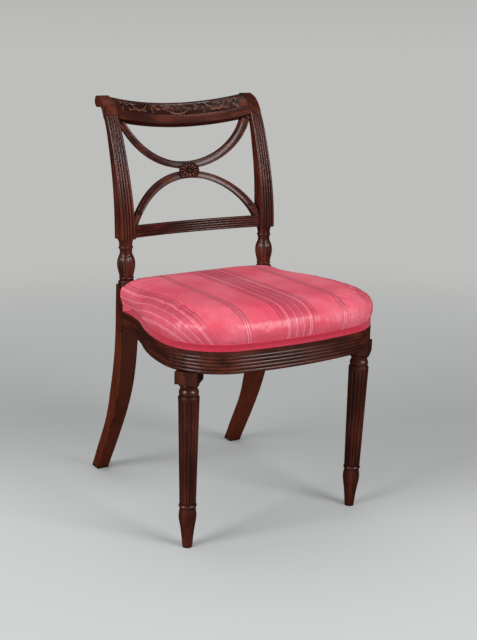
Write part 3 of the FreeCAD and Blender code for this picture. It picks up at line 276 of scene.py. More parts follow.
# Mahogany, stained dark red-brown and French polished. The grain runs along each piece, so
# posts and legs, side rails and the rails across the chair have a finish each.
WOOD_DARK = (0.026, 0.0048, 0.0030)
WOOD_MIDDLE = (0.052, 0.0090, 0.0044)
WOOD_LIGHT = (0.112, 0.0200, 0.0070)
WOOD_PORE_AND_SHADE = (0.006, 0.0022, 0.0018)
WOOD_WORN_AND_HIGHLIGHT = (0.19, 0.085, 0.040)
GRAIN_ALONG = 4.0
GRAIN_ACROSS = 85.0
PORE_ALONG = 55.0
PORE_ACROSS = 1500.0
PAINTED_SHADE_REACH = 0.006


def mahogany(name, grain, painted_light=0.0, carved_face=False):
    """A finish whose grain runs along one axis; its colour is lightened, most of all below the seat, as
    painted light. A carved face is darker in its hollows, as painted shade, and paler on its raised
    edges, as wear and painted highlight, after its own relief."""
    wood = Finish(name)
    figure_scale, pore_scale = [GRAIN_ACROSS] * 3, [PORE_ACROSS] * 3
    figure_scale[grain], pore_scale[grain] = GRAIN_ALONG, PORE_ALONG
    figure = wood.cloud(figure_scale, 5.0, 0.6)
    blotch = wood.cloud(14.0, 3.0)
    # Painted light: the colour is lightened, four times as much below the seat, standing in for the
    # light on the lower posts.
    painted_light_amount = wood.axis("Z").ramp(0.42, 0.36, painted_light, painted_light * 4)
    tone = (figure * 0.72 + blotch * 0.42 + painted_light_amount).ramp(0.36, 0.80)
    colour = wood.colours(tone, ((0.0, WOOD_DARK), (0.5, WOOD_MIDDLE), (1.0, WOOD_LIGHT)))
    pores = wood.cloud(pore_scale, 1.0).ramp(0.60, 0.68)
    colour = wood.blend(pores * 0.55, colour, WOOD_PORE_AND_SHADE)
    # Painted shade: the colour darkens towards the pore colour in grooves and hollows, where ambient
    # occlusion finds them.
    open_to_light = wood.node("ShaderNodeAmbientOcclusion", {"samples": 16},
                              {"Distance": PAINTED_SHADE_REACH}, "AO")
    colour = wood.blend(open_to_light.ramp(0.55, 0.97, 0.95, 0.0), colour, WOOD_PORE_AND_SHADE)
    if carved_face:
        # Painted shade and highlight: the carving's tone darkens its hollows and paints its raised
        # edges pale, partly as wear.
        relief = wood.node("ShaderNodeAttribute", {"attribute_name": "relief"}, {}, "Fac")
        colour = wood.blend(relief.ramp(0.0, -0.8, 0.0, 0.65), colour, WOOD_PORE_AND_SHADE)
        colour = wood.blend(relief.ramp(0.55, 1.05, 0.0, 0.6), colour, WOOD_WORN_AND_HIGHLIGHT)
    wood.set(Base_Color=colour, Roughness=blotch.ramp(0.2, 0.8, 0.28, 0.38) + pores * 0.08,
             Specular_IOR_Level=0.38, Coat_Weight=0.08, Coat_Roughness=0.14, Coat_IOR=1.5,
             Normal=wood.emboss(blotch, 0.0004))
    return wood.material


post_finish = mahogany("mahogany_post", 2, painted_light=0.04)
along_z = mahogany("mahogany_upright", 2)
along_x = mahogany("mahogany_across", 0)
along_y = mahogany("mahogany_side", 1)
carved_z = mahogany("mahogany_carved_upright", 2, carved_face=True)
carved_x = mahogany("mahogany_carved_across", 0, carved_face=True)


def refinish(node, material):
    item = chair[node]
    item.data.materials.clear()
    item.data.materials.append(material)


def finished(name, shape, material, sharp=35):
    """Makes the shape a piece of the chair, with smooth faces and crisp edges."""
    bmesh.ops.recalc_face_normals(shape, faces=shape.faces)
    item = as_object(name, shape)
    item.data.shade_smooth()
    item.data.set_sharp_from_angle(angle=math.radians(sharp))
    item.data.materials.append(material)
    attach(item, "root")
    return item


for side in ("right", "left"):
    refinish("rear_post_" + side, post_finish)
    refinish("front_leg_" + side, along_z)
    refinish("side_seat_rail_" + side, along_y)
for rail in ("stay_rail", "front_seat_rail", "rear_seat_rail"):
    refinish(rail, along_x)


# The four corner blocks are plain sawn pine, glued and screwed into the frame with steel screws.
PINE_PALE = (0.50, 0.33, 0.17)
PINE_DARK = (0.31, 0.17, 0.075)
SCREW_GREY = (0.20, 0.19, 0.18)
RUST = (0.11, 0.045, 0.02)


def pine():
    wood = Finish("pine_block")
    rings = wood.cloud((130.0, 130.0, 7.0), 3.0, 0.3)
    dust = wood.cloud(55.0, 4.0)
    colour = wood.colours(rings * 0.8 + dust * 0.25, ((0.3, PINE_DARK), (0.72, PINE_PALE)))
    wood.set(Base_Color=colour, Roughness=0.78, Normal=wood.emboss(rings, 0.0003))
    return wood.material


def steel(name, bright):
    metal = Finish(name)
    spots = metal.cloud(420.0, 3.0)
    colour = metal.colours(spots, ((0.42, RUST), (0.62, bright)))
    metal.set(Base_Color=colour, Metallic=0.9, Roughness=spots.ramp(0.3, 0.8, 0.62, 0.36),
              Normal=metal.emboss(spots, 0.0001))
    return metal.material


pine_finish = pine()
for end in ("front_right", "front_left", "rear_right", "rear_left"):
    refinish("corner_block_" + end, pine_finish)
refinish("corner_block_screws", steel("screw_steel", SCREW_GREY))
refinish("webbing_tacks", steel("tack_steel", SCREW_GREY))


# The crest rail is bowed about a leaning axis and rolls over at its top, as the stiles do.
# Its face is carved: a plain border below, a bead, and a sunk field between plain ends.
STILE_FRONT_Y = 0.1045
STILE_BASE = 0.540
OVERALL_HEIGHT = 0.820
SCROLL_REACH = 0.105
SCROLL_RADIUS = 0.0115
BACK_HALF_SPAN = 0.180
BLOCK_WIDTH = 0.032
SCROLL_WIDTH = 0.0243
BACK_HOLLOW = 0.030
GLUE_LINE = 0.00015
CREST_LEAN = 36
CREST_RECESS = 0.0015
CREST_THICKNESS = 0.014
# Each row is a share of the stile's height, a share of the scroll's reach and a lean.
CREST_STATIONS = (
    (0.8535, 0.535, 36), (0.925, 0.657, 41), (0.968, 0.781, 54), (0.989, 0.895, 68), (0.9985, 0.97, 84),
)


def stile_inner_x(height):
    share = (height - STILE_BASE) / (OVERALL_HEIGHT - STILE_BASE)
    return BACK_HALF_SPAN - BLOCK_WIDTH + (BLOCK_WIDTH - SCROLL_WIDTH) * share


def bow_radius():
    half_chord = stile_inner_x(OVERALL_HEIGHT)
    return (half_chord ** 2 + BACK_HOLLOW ** 2) / (2 * BACK_HOLLOW)


def hollow_at(x):
    return bow_radius() - math.sqrt(bow_radius() ** 2 - x ** 2)


def leaning(lean):
    """Directions up a leaning face and square to it, towards the back."""
    lean = math.radians(lean)
    return Vector((0, math.sin(lean), math.cos(lean))), Vector((0, math.cos(lean), -math.sin(lean)))


def scroll_place(station, depth):
    """A point of the stile's side view, some way into the wood from its front line."""
    rise, reach, lean = station[:3]
    line = Vector((0, STILE_FRONT_Y + SCROLL_REACH * reach,
                   STILE_BASE + (OVERALL_HEIGHT - STILE_BASE) * rise))
    return line + leaning(lean)[1] * depth


def smooth_line(points, count):
    """Evenly spaced points on a natural cubic curve through the given points."""
    points = np.array([tuple(p) for p in points])
    gaps = np.linalg.norm(np.diff(points, axis=0), axis=1)
    knots = np.concatenate(([0], np.cumsum(gaps)))
    size = len(points)
    system = np.eye(size)
    rhs = np.zeros_like(points)
    for i in range(1, size - 1):
        system[i, i - 1:i + 2] = gaps[i - 1], 2 * (gaps[i - 1] + gaps[i]), gaps[i]
        rhs[i] = 6 * ((points[i + 1] - points[i]) / gaps[i] - (points[i] - points[i - 1]) / gaps[i - 1])
    bend = np.linalg.solve(system, rhs)
    places = []
    for place in np.linspace(0, knots[-1], count):
        i = min(int(np.searchsorted(knots, place, "right")) - 1, size - 2)
        a, b, gap = knots[i + 1] - place, place - knots[i], gaps[i]
        places.append(Vector(
            (a ** 3 * bend[i] + b ** 3 * bend[i + 1]) / (6 * gap)
            + (points[i] / gap - bend[i] * gap / 6) * a
            + (points[i + 1] / gap - bend[i + 1] * gap / 6) * b))
    return places


def ring_of(shape, points):
    """A closed loop of edges through the points."""
    corners = [shape.verts.new(point) for point in points]
    for first, second in zip(corners, corners[1:] + corners[:1]):
        shape.edges.new((first, second))
    return corners


def close_ends(shape):
    bmesh.ops.holes_fill(shape, edges=[edge for edge in shape.edges if edge.is_boundary], sides=0)


def all_lines(shape):
    return shape.verts[:] + shape.edges[:]


def corners_of(geometry):
    return [part for part in geometry if isinstance(part, bmesh.types.BMVert)]


def thicken(shape, faces, reach):
    """Pulls a second skin out of the faces, so that they close a body."""
    grown = bmesh.ops.extrude_face_region(shape, geom=faces)["geom"]
    bmesh.ops.translate(shape, vec=reach, verts=corners_of(grown))


def cut_between_stiles(shape, reach):
    """Trims a swept rail at the planes of the stiles' inner faces, and closes the cuts."""
    lean = (BLOCK_WIDTH - SCROLL_WIDTH) / (OVERALL_HEIGHT - STILE_BASE)
    for side in (1, -1):
        bmesh.ops.bisect_plane(
            shape, geom=all_lines(shape) + shape.faces[:], dist=0.000001, clear_outer=True,
            plane_co=(side * (stile_inner_x(STILE_BASE) + reach), 0, STILE_BASE),
            plane_no=(side, 0, -lean))
        close_ends(shape)


STROKE_STEPS = 14
VEIN_WIDTH = 0.3


def stroke(x, z, path, widths, height, vein):
    """Height of one chisel-rounded stroke: a curve through three points, with a width at each end
    and in the middle. A vein is a groove along its middle line, as a share of the height."""
    start, bend, end = np.array(path, float)
    level = np.zeros_like(x)
    last, last_width = None, None
    for t in np.linspace(0, 1, STROKE_STEPS):
        centre = (1 - t) ** 2 * start + 2 * t * (1 - t) * (2 * bend - (start + end) / 2) + t * t * end
        width = ((1 - t) * (1 - 2 * t) * widths[0] + 4 * t * (1 - t) * widths[1]
                 + t * (2 * t - 1) * widths[2])
        if last is not None:
            span = centre - last
            along = np.clip(((x - last[0]) * span[0] + (z - last[1]) * span[1])
                            / max(span @ span, 1e-12), 0, 1)
            away = np.hypot(x - last[0] - span[0] * along, z - last[1] - span[1] * along)
            share = away / max(last_width + (width - last_width) * t, 1e-6)
            dome = np.sqrt(np.clip(1 - share ** 2, 0, None))
            dome = dome * (1 - vein * np.exp(-(share / VEIN_WIDTH) ** 2))
            level = np.maximum(level, height * dome)
        last, last_width = centre, width
    return level


def carved(x, z, strokes):
    return np.maximum.reduce([stroke(x, z, *row) for row in strokes])


# A motif is a list of strokes. Each stroke is a path, its widths, its height and its vein, with
# the sizes in millimetres.
def leaf(x, z, length, turn):
    """A pointed leaf with a middle vein, from its stalk; the turn is in degrees."""
    along, up = length * math.cos(math.radians(turn)), length * math.sin(math.radians(turn))
    bow = (x + 0.5 * along - 0.1 * up, z + 0.5 * up + 0.1 * along)
    return [(x, z), bow, (x + along, z + up)], (1.47, 4.2, 0.2), 2.4, 0.4


def bow_knot(x, z, size):
    """A ribbon's bow: a knot, and two loops and a tail at each side."""
    strokes = [([(x - 0.1 * size, z), (x, z), (x + 0.1 * size, z)], (0.17 * size,) * 3, 2.8, 0)]
    for side in (-size, size):
        for bend, tip, widths, height in (
                ((0.55, 0.5), (1, 0.1), (0.08, 0.17, 0.12), 2.3),
                ((0.6, -0.2), (1, 0.1), (0.08, 0.12, 0.1), 2.0),
                ((0.25, -0.6), (0.7, -1.1), (0.08, 0.13, 0.2), 1.7)):
            path = [(x + side * aside, z + size * up) for aside, up in ((0, 0), bend, tip)]
            strokes.append((path, [size * width for width in widths], height, 0))
    return strokes


def festoon(left, right, top, sag):
    """Drapery hung between two points, in two nested folds."""
    middle, inset = (left + right) / 2, (right - left) * 0.07
    upper = [(left + inset, top), (middle, top - sag * 0.25), (right - inset, top)]
    lower = [(left, top), (middle, top - sag), (right, top)]
    return [(upper, (0.9, 1.6, 0.9), 1.9, 0), (lower, (0.9, 3.0, 0.9), 2.4, 0)]


def tassel(x, top, length):
    """A cord, a head and three threads."""
    rows = [((0, 0), (0, 0.2), (0, 0.42), (0.9, 0.9, 1.1), 1.6),
            ((0, 0.42), (0, 0.5), (0, 0.58), (1.8, 2.6, 1.8), 2.6)]
    rows += [((0.9 * way, 0.58), (2.0 * way, 0.8), (3.0 * way, 1), (0.8, 1.1, 1.2), 2.1)
             for way in (-1, 0, 1)]
    return [([(x + aside, top - down * length) for aside, down in path], widths, height, 0)
            for *path, widths, height in rows]


FIELD_LOW = 20.5
FIELD_HIGH = 57.0
FIELD_HALF_LENGTH = 141.0
FIELD_SINK = 2.0
FIELD_EDGE = 0.9
BEAD_DROP = 2.2
BEAD_HALF_WIDTH = 1.2
BEAD_HEIGHT = 0.6
QUIRK_DROP = 4.2
QUIRK_WIDTH = 0.5
# Each row is a leaf: across and up, its length and its turn.
FIELD_LEAVES = (
    (12, 47, 24, 10), (14, 41, 24, -22), (56, 53, 22, 176), (55, 45, 22, -155), (75, 27, 18, 8),
    (114, 27, 18, 152), (135, 31, 12, -70), (84, 54, 20, 0),
)


def crest_strokes():
    """The field's carving, in millimetres from its middle and up from its lower edge."""
    half = festoon(68, 116, 51, 23) + tassel(60, 50, 27) + bow_knot(126, 45, 15)
    half += [leaf(*row) for row in FIELD_LEAVES]
    mirrored = [([(-x, z) for x, z in path], *rest) for path, *rest in half]
    return half + mirrored + festoon(-36, 36, 42, 19) + bow_knot(0, 46, 13)


def crest_carving(along, up):
    """Height of the crest's face against its plain surface, in millimetres, and its tone."""
    along, up = along * 1000, up * 1000
    edge = np.minimum(np.minimum(up - FIELD_LOW, FIELD_HIGH - up), FIELD_HALF_LENGTH - np.abs(along))
    inside = np.clip(edge / FIELD_EDGE, 0, 1)
    motif = carved(along, up, crest_strokes())
    ground = -FIELD_SINK * inside * inside * (3 - 2 * inside)
    bead_place = np.abs(up - (FIELD_LOW - BEAD_DROP)) / BEAD_HALF_WIDTH
    bead = np.sqrt(np.clip(1 - bead_place ** 2, 0, None)) * BEAD_HEIGHT
    bead = bead * (np.abs(along) < FIELD_HALF_LENGTH)
    quirk = -0.5 * np.exp(-((up - (FIELD_LOW - QUIRK_DROP)) / QUIRK_WIDTH) ** 2)
    # The tone paints shade in the sunk ground and paints the motif's tops pale, as wear and painted
    # highlight.
    tone = np.where(inside > 0.2, -0.75 + 1.75 * np.clip(motif / 2.3, 0, 1), 0.0)
    return ground + np.where(inside > 0, motif * np.clip(edge / 1.5, 0, 1), 0) + bead + quirk, tone


def crest_rail():
    shift = leaning(CREST_LEAN)[1] * hollow_at(stile_inner_x(OVERALL_HEIGHT))
    face_line = smooth_line([scroll_place(row, CREST_RECESS) + shift for row in CREST_STATIONS], 112)
    back_line = smooth_line([scroll_place(row, CREST_RECESS + CREST_THICKNESS) + shift
                             for row in CREST_STATIONS[:3]], 7)
    centre = Vector((0, STILE_FRONT_Y + SCROLL_REACH, OVERALL_HEIGHT - SCROLL_RADIUS)) + shift
    radius = SCROLL_RADIUS - CREST_RECESS
    roll = [centre + Vector((0, math.cos(a), math.sin(a))) * radius
            for a in np.radians(np.linspace(98, -142, 17))]
    shape = bmesh.new()
    reach = shape.verts.layers.float.new("relief")
    axis = leaning(CREST_LEAN)[0]
    hub = scroll_place(CREST_STATIONS[0], CREST_RECESS) + shift - leaning(CREST_LEAN)[1] * bow_radius()
    half_turn = math.asin(BACK_HALF_SPAN / bow_radius())
    ring = ring_of(shape, face_line + roll + back_line[::-1])
    travelled = 0.0
    for number, corner in enumerate(ring):
        if 0 < number < len(face_line):
            travelled += (corner.co - ring[number - 1].co).length
        corner[reach] = travelled if number < len(face_line) else -1.0
    bmesh.ops.rotate(shape, cent=hub, matrix=Matrix.Rotation(half_turn, 3, axis), verts=shape.verts)
    bmesh.ops.spin(shape, geom=all_lines(shape), cent=hub, axis=axis,
                   angle=-2 * half_turn, steps=600)
    cut_between_stiles(shape, -GLUE_LINE)
    shape.normal_update()
    front = [v for v in shape.verts if v[reach] >= 0]
    towards_front = -leaning(CREST_LEAN)[1]
    along = []
    for corner in front:
        arm = corner.co - hub
        arm -= axis * arm.dot(axis)
        along.append(math.atan2(arm.x, -arm.dot(towards_front)) * bow_radius())
    height, tone = crest_carving(np.array(along), np.array([v[reach] for v in front]))
    normals = [v.normal.copy() for v in front]
    outward = 1 if normals[len(normals) // 2].dot(towards_front) > 0 else -1
    for corner in shape.verts:
        corner[reach] = 0.0
    for corner, normal, lift, shade in zip(front, normals, height, tone):
        corner.co += normal * (outward * lift * 0.001)
        corner[reach] = shade
    return finished("carved_crest_rail", shape, carved_x, sharp=50)


crest = crest_rail()
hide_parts("crest_rail")


# Two bowed arcs are sawn from a plank that follows the stiles and the rails. A fine bead runs
# along each edge of the hollowed face, and a leaf is carved on each end.
ARC_RADIUS = 0.160
ARC_WIDTH = 0.0145
ARC_THICKNESS = 0.010
ARC_SPACING = 0.019
ARC_RECESS = 0.009
ARC_LEAN = 19
ARC_HOUSING = 0.004
ROSETTE_HEIGHT = 0.6665
ARC_STATIONS = (
    (0, 0, 0), (0.179, 0.014, 4), (0.336, 0.076, 11), (0.568, 0.233, 17), (0.729, 0.381, 22),
    (0.8, 0.462, 26), (0.868, 0.557, 31),
)
EDGE_BEAD_PLACE = 6.0
LEAF_LENGTH = 34.0


def bowed_plank(depth, shift, hub, lean):
    """Returns a function that gives the plank's y at places seen from the front."""
    axis, backwards = leaning(lean)
    curve = smooth_line([scroll_place(row, depth) + shift for row in ARC_STATIONS], 60)
    heights = [(p - hub).dot(axis) for p in curve]
    radii = [(p - hub).dot(backwards) for p in curve]

    def depth_at(x, z):
        y = np.full_like(x, STILE_FRONT_Y)
        for _ in range(16):
            up = (y - hub.y) * axis.y + (z - hub.z) * axis.z
            back = (y - hub.y) * backwards.y + (z - hub.z) * backwards.z
            target = np.sqrt(np.clip(np.interp(up, heights, radii) ** 2 - x ** 2, 0, None))
            y = y + (target - back) * backwards.y
        return y

    return depth_at


arc_shift = leaning(ARC_LEAN)[1] * hollow_at(stile_inner_x(ROSETTE_HEIGHT))
arc_hub = (scroll_place(ARC_STATIONS[3], ARC_RECESS) + arc_shift
           - leaning(ARC_LEAN)[1] * bow_radius())
arc_front = bowed_plank(ARC_RECESS, arc_shift, arc_hub, ARC_LEAN)
arc_back = bowed_plank(ARC_RECESS + ARC_THICKNESS, arc_shift, arc_hub, ARC_LEAN)


def arc_carving(along, across, half_length):
    """Height of an arc's face, in millimetres, and its tone; along runs from the middle, across
    from the line."""
    bead = np.sqrt(np.clip(1 - ((np.abs(across) - EDGE_BEAD_PLACE) / 1.1) ** 2, 0, None))
    cove = np.clip(1 - (across / 4.8) ** 2, 0, None)
    from_end = half_length - np.abs(along)
    plain = from_end >= LEAF_LENGTH + 2
    strokes = []
    for row in range(4):
        start = 3 + row * 6.5
        reach = 12.5 - row * 0.9
        for side in (-1, 1):
            strokes.append(([(start, side * 0.4), (start + reach * 0.5, side * 4.2),
                             (start + reach, side * 6.2)], (1.1, 2.3, 0.3), 1.6, 0.4))
    strokes.append(([(0, 0), (18, 0), (LEAF_LENGTH, 0)], (1.5, 1.8, 0.5), 2.0, 0.0))
    leaves = carved(from_end, across, strokes)
    # The tone paints a pale highlight on the beads and shade in the cove; the leaf gets painted shade
    # in its hollows and a pale top, as wear and painted highlight.
    tone = np.where(plain, bead * 0.62 - cove * 0.25, -0.6 + 1.3 * np.clip(leaves / 1.6, 0, 1))
    return np.where(plain, bead * 0.5 - 0.6 * cove, 0) + leaves, tone


def arc_member(name, centre_z, upward, node):
    """One arc: a ring section turned about the middle, then laid on the bowed plank."""
    half_turn = math.asin((stile_inner_x(OVERALL_HEIGHT) + ARC_HOUSING) / (ARC_RADIUS + ARC_WIDTH / 2))
    shape = bmesh.new()
    face_share = shape.verts.layers.float.new("relief")
    across_steps, side_steps = 34, 3
    pole = Vector((0, 0, upward))
    low, high = ARC_RADIUS - ARC_WIDTH / 2, ARC_RADIUS + ARC_WIDTH / 2
    loop = [(r, 0.0) for r in np.linspace(low, high, across_steps)]
    loop += [(high, d) for d in np.linspace(0, 1, side_steps + 1)[1:]]
    loop += [(r, 1.0) for r in np.linspace(high, low, 7)[1:]]
    loop += [(low, d) for d in np.linspace(1, 0, side_steps + 1)[1:-1]]
    middle = Vector((0, 0, centre_z))
    ring = ring_of(shape, [middle + pole * radius for radius, _ in loop])
    for corner, (_, share) in zip(ring, loop):
        corner[face_share] = share
    bmesh.ops.rotate(shape, cent=middle, matrix=Matrix.Rotation(half_turn, 3, "Y"), verts=shape.verts)
    bmesh.ops.spin(shape, geom=all_lines(shape), cent=middle, axis=BACKWARDS,
                   angle=-2 * half_turn, steps=620)
    close_ends(shape)
    corners = shape.verts[:]
    x = np.array([corner.co.x for corner in corners])
    z = np.array([corner.co.z for corner in corners])
    share = np.array([corner[face_share] for corner in corners])
    y = arc_front(x, z) * (1 - share) + arc_back(x, z) * share
    along = np.arctan2(x, (z - centre_z) * upward) * ARC_RADIUS * 1000
    across = (np.hypot(x, z - centre_z) - ARC_RADIUS) * 1000
    half_length = math.asin(stile_inner_x(centre_z) / ARC_RADIUS) * ARC_RADIUS * 1000
    height, tone = (np.where(share == 0, part, 0) for part in arc_carving(along, across, half_length))
    towards_front = -leaning(ARC_LEAN)[1]
    for corner, depth, lift, shade in zip(corners, y, height, tone):
        corner.co.y = depth
        corner.co += towards_front * (lift * 0.001)
        corner[face_share] = shade
    item = finished(name, shape, carved_x, sharp=50)
    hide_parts(node)


arc_member("carved_upper_arc", ROSETTE_HEIGHT + ARC_SPACING / 2 + ARC_RADIUS, -1, "upper_arc")
arc_member("carved_lower_arc", ROSETTE_HEIGHT - ARC_SPACING / 2 - ARC_RADIUS, 1, "lower_arc")


# A carved tablet covers the place where the arcs come closest: an oval rosette of long petals
# that fan out from a button, with its corners rounded off.
TABLET_WIDTH = 46.0
TABLET_HEIGHT = 32.0
TABLET_LEAN = 15
PETALS = 12


def tablet_carving(x, z):
    """Outline and relief of the tablet, in millimetres from its middle."""
    radius = np.hypot(x / (TABLET_WIDTH / 2), z / (TABLET_HEIGHT / 2))
    turn = np.arctan2(z / TABLET_HEIGHT, x / TABLET_WIDTH)
    petal = np.abs(np.cos(turn * PETALS / 2))
    body = np.clip(1 - ((radius - 0.58) / 0.48) ** 2, 0, None)
    petals = body * (0.1 + 0.9 * petal ** 0.8) * 3.2
    button = np.sqrt(np.clip(1 - (radius / 0.18) ** 2, 0, None)) * 2.8
    return np.maximum(petals, button)


def rosette():
    low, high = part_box("arc_rosette")
    axis, backwards = leaning(TABLET_LEAN)
    middle = (low + high) / 2
    base = Vector((0, low.y, middle.z)) + backwards * 0.0045
    shape = bmesh.new()
    relief = shape.verts.layers.float.new("relief")
    bmesh.ops.create_circle(shape, cap_ends=True, segments=120, radius=1.0)
    bmesh.ops.poke(shape, faces=shape.faces[:])
    spokes = [e for e in shape.edges if any(v.co.length < 0.01 for v in e.verts)]
    bmesh.ops.subdivide_edges(shape, edges=spokes, cuts=26, use_grid_fill=True)
    rim = [e for e in shape.edges if e.is_boundary]
    sides = bmesh.ops.extrude_edge_only(shape, edges=rim)["geom"]
    for corner in corners_of(sides):
        corner.co.z = -1.0
    close_ends(shape)
    for corner in shape.verts:
        x, z = corner.co.x * TABLET_WIDTH / 2, corner.co.y * TABLET_HEIGHT / 2
        corner_fill = 1 + 0.10 * abs(math.sin(2 * math.atan2(z / TABLET_HEIGHT, x / TABLET_WIDTH))) ** 2
        x, z = x * corner_fill, z * corner_fill
        lift = 0.0 if corner.co.z < 0 else float(tablet_carving(np.array([x]), np.array([z]))[0]) + 2.0
        # The tone paints the petals' tops pale, as wear and painted highlight, and the ground between
        # them with painted shade.
        corner[relief] = min(lift - 2.0, 3.0) * 0.55 - 0.75 if lift else 0.0
        corner.co = base + ACROSS * (x * 0.001) + axis * (z * 0.001) - backwards * (lift * 0.001)
    item = finished("carved_rosette", shape, carved_x, sharp=60)
    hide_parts("arc_rosette")


rosette()


# The turned parts carry fine carving: waterleaves round the vase of each baluster, and rope rings
# at the balusters' necks and at the ankles of the front legs.
BLOCK_TOP = 0.445
BALUSTER_RADIUS = 0.018
BALUSTER_Y = 0.1215
VASE_ROWS = ((0.19, 0.75), (0.32, 0.9), (0.45, 1.0), (0.55, 0.95), (0.64, 0.79), (0.79, 0.74))
LEAF_TOP = 0.66
LEAVES = 6
LEG_FOOT = Vector((0.189, -0.1815, 0))
LEG_TOP = Vector((0.191, -0.1992, 0.354))
LEG_RADIUS = 0.01975
SLEEVE_DEPTH = 0.0012
ROPE_TURNS = 20


def sleeve(name, foot, top, rows, lift, around=168):
    """A carved skin round a turned part. Rows are heights and radii, lift is in millimetres."""
    shape = bmesh.new()
    share = shape.verts.layers.float.new("relief")
    outer = [Vector((radius, 0, height)) for height, radius in rows]
    inner = [p - ACROSS * SLEEVE_DEPTH for p in reversed(outer)]
    ring = ring_of(shape, outer + inner)
    for index, corner in enumerate(ring):
        corner[share] = index / (len(outer) - 1) if index < len(outer) else -1.0
    bmesh.ops.spin(shape, geom=all_lines(shape), cent=(0, 0, 0), axis=UP,
                   angle=math.tau, steps=around, use_merge=True)
    corners = [corner for corner in shape.verts if corner[share] >= 0]
    turns = np.array([math.atan2(corner.co.y, corner.co.x) for corner in corners])
    heights = np.array([corner[share] for corner in corners])
    for corner, rise in zip(corners, lift(turns, heights)):
        corner.co += Vector((corner.co.x, corner.co.y, 0)).normalized() * (rise * 0.001)
        # The tone paints the carving's tops pale, as wear and painted highlight, and its hollows with
        # painted shade.
        corner[share] = rise * 1.5 - 0.4
    turn = UP.rotation_difference((Vector(top) - Vector(foot)).normalized()).to_matrix()
    bmesh.ops.transform(shape, matrix=Matrix.Translation(foot) @ turn.to_4x4(), verts=shape.verts)
    return finished(name, shape, carved_z, sharp=50)


def waterleaves(turns, heights):
    """Pointed leaves in front, the tips of others between them; each has a hollow vein."""
    pitch = math.tau / LEAVES
    level = np.full_like(turns, -0.35)
    for offset, reach, rise in ((0.5, 0.82, 0.45), (0.0, 1.0, 0.9)):
        aside = np.abs((turns / pitch + offset) % 1.0 - 0.5)
        half = 0.47 * np.sqrt(np.clip(1 - (heights / reach) ** 2.4, 0, None)) + 0.001
        across = aside / half
        blade = rise * (0.6 + 0.4 * across ** 2) - 0.6 * np.exp(-(across / 0.16) ** 2)
        level = np.where((across < 1) & (heights < reach), blade, level)
    return level


def rope(turns, heights):
    strand = np.abs(np.sin(turns * ROPE_TURNS / 2 + heights * 2.2))
    return (0.1 + 0.65 * strand ** 0.7) * np.sin(math.pi * np.clip(heights, 0, 1)) - 0.15


def ring_rows(low, high, length, radius, waist, crown, count=7):
    return [(length * (low + (high - low) * t),
             radius * (waist + (crown - waist) * math.sin(math.pi * t)))
            for t in np.linspace(0, 1, count)]


vase_curve = smooth_line([Vector((r, 0, z)) for z, r in VASE_ROWS], 120)
baluster_height = STILE_BASE - BLOCK_TOP
leaf_rows = [(p.z * baluster_height, p.x * BALUSTER_RADIUS) for p in vase_curve if p.z <= LEAF_TOP]
neck_rows = ring_rows(0.79, 0.85, baluster_height, BALUSTER_RADIUS, 0.74, 0.80)
ankle_rows = ring_rows(0.232, 0.254, (LEG_TOP - LEG_FOOT).length, LEG_RADIUS, 0.74, 0.84)
for side, mark in (("right", 1), ("left", -1)):
    foot = Vector((mark * (BACK_HALF_SPAN - BLOCK_WIDTH / 2), BALUSTER_Y, BLOCK_TOP))
    sleeve("waterleaves_" + side, foot, foot + UP, leaf_rows, waterleaves)
    sleeve("neck_rope_" + side, foot, foot + UP, neck_rows, rope)
    foot, top = (Vector((mark * p.x, p.y, p.z)) for p in (LEG_FOOT, LEG_TOP))
    sleeve("ankle_rope_" + side, foot, top, ankle_rows, rope)


# The seat's outer line: the straight beside the post, the waist, the bulge, the corner and the
# bowed front. The tape, the silk and the canvas all follow it.
SEAT_FRONT_Y = -0.2805
SEAT_HALF_SPAN = 0.1815
SIDE_FLARE = 0.0385
CORNER_RADIUS = 0.120
BOW_ANGLE = 10.0
FLARE_LENGTH = 0.2424
FLARE_SPLIT = 0.534
SHELF = 0.395
RAIL_TOP = 0.406
POST_INNER_X = 0.143
SEAT_BACK_Y = 0.136
SKIRT_INSET = 0.0021
POST_GAP = 0.0004


def seat_runs():
    """Each run is a centre, a turn about it in degrees and a number of steps."""
    half_width = SEAT_HALF_SPAN + SIDE_FLARE
    corner_x = half_width - CORNER_RADIUS
    corner_y = SEAT_FRONT_Y + CORNER_RADIUS + corner_x * math.tan(math.radians(BOW_ANGLE / 2))
    turn = 2 * math.atan2(SIDE_FLARE, FLARE_LENGTH)
    radii = FLARE_LENGTH / math.sin(turn)
    bulge_radius = radii * FLARE_SPLIT
    waist_start = Vector((SEAT_HALF_SPAN, corner_y + FLARE_LENGTH, 0))
    waist_centre = waist_start + ACROSS * (radii - bulge_radius)
    bow_y = corner_y + corner_x / math.tan(math.radians(BOW_ANGLE))
    turn = math.degrees(turn)
    return waist_start, (
        (waist_centre, turn, 26),
        (Vector((half_width - bulge_radius, corner_y, 0)), -turn, 30),
        (Vector((corner_x, corner_y, 0)), -(90 - BOW_ANGLE), 44),
        (Vector((0, bow_y, 0)), -BOW_ANGLE, 22),
    )


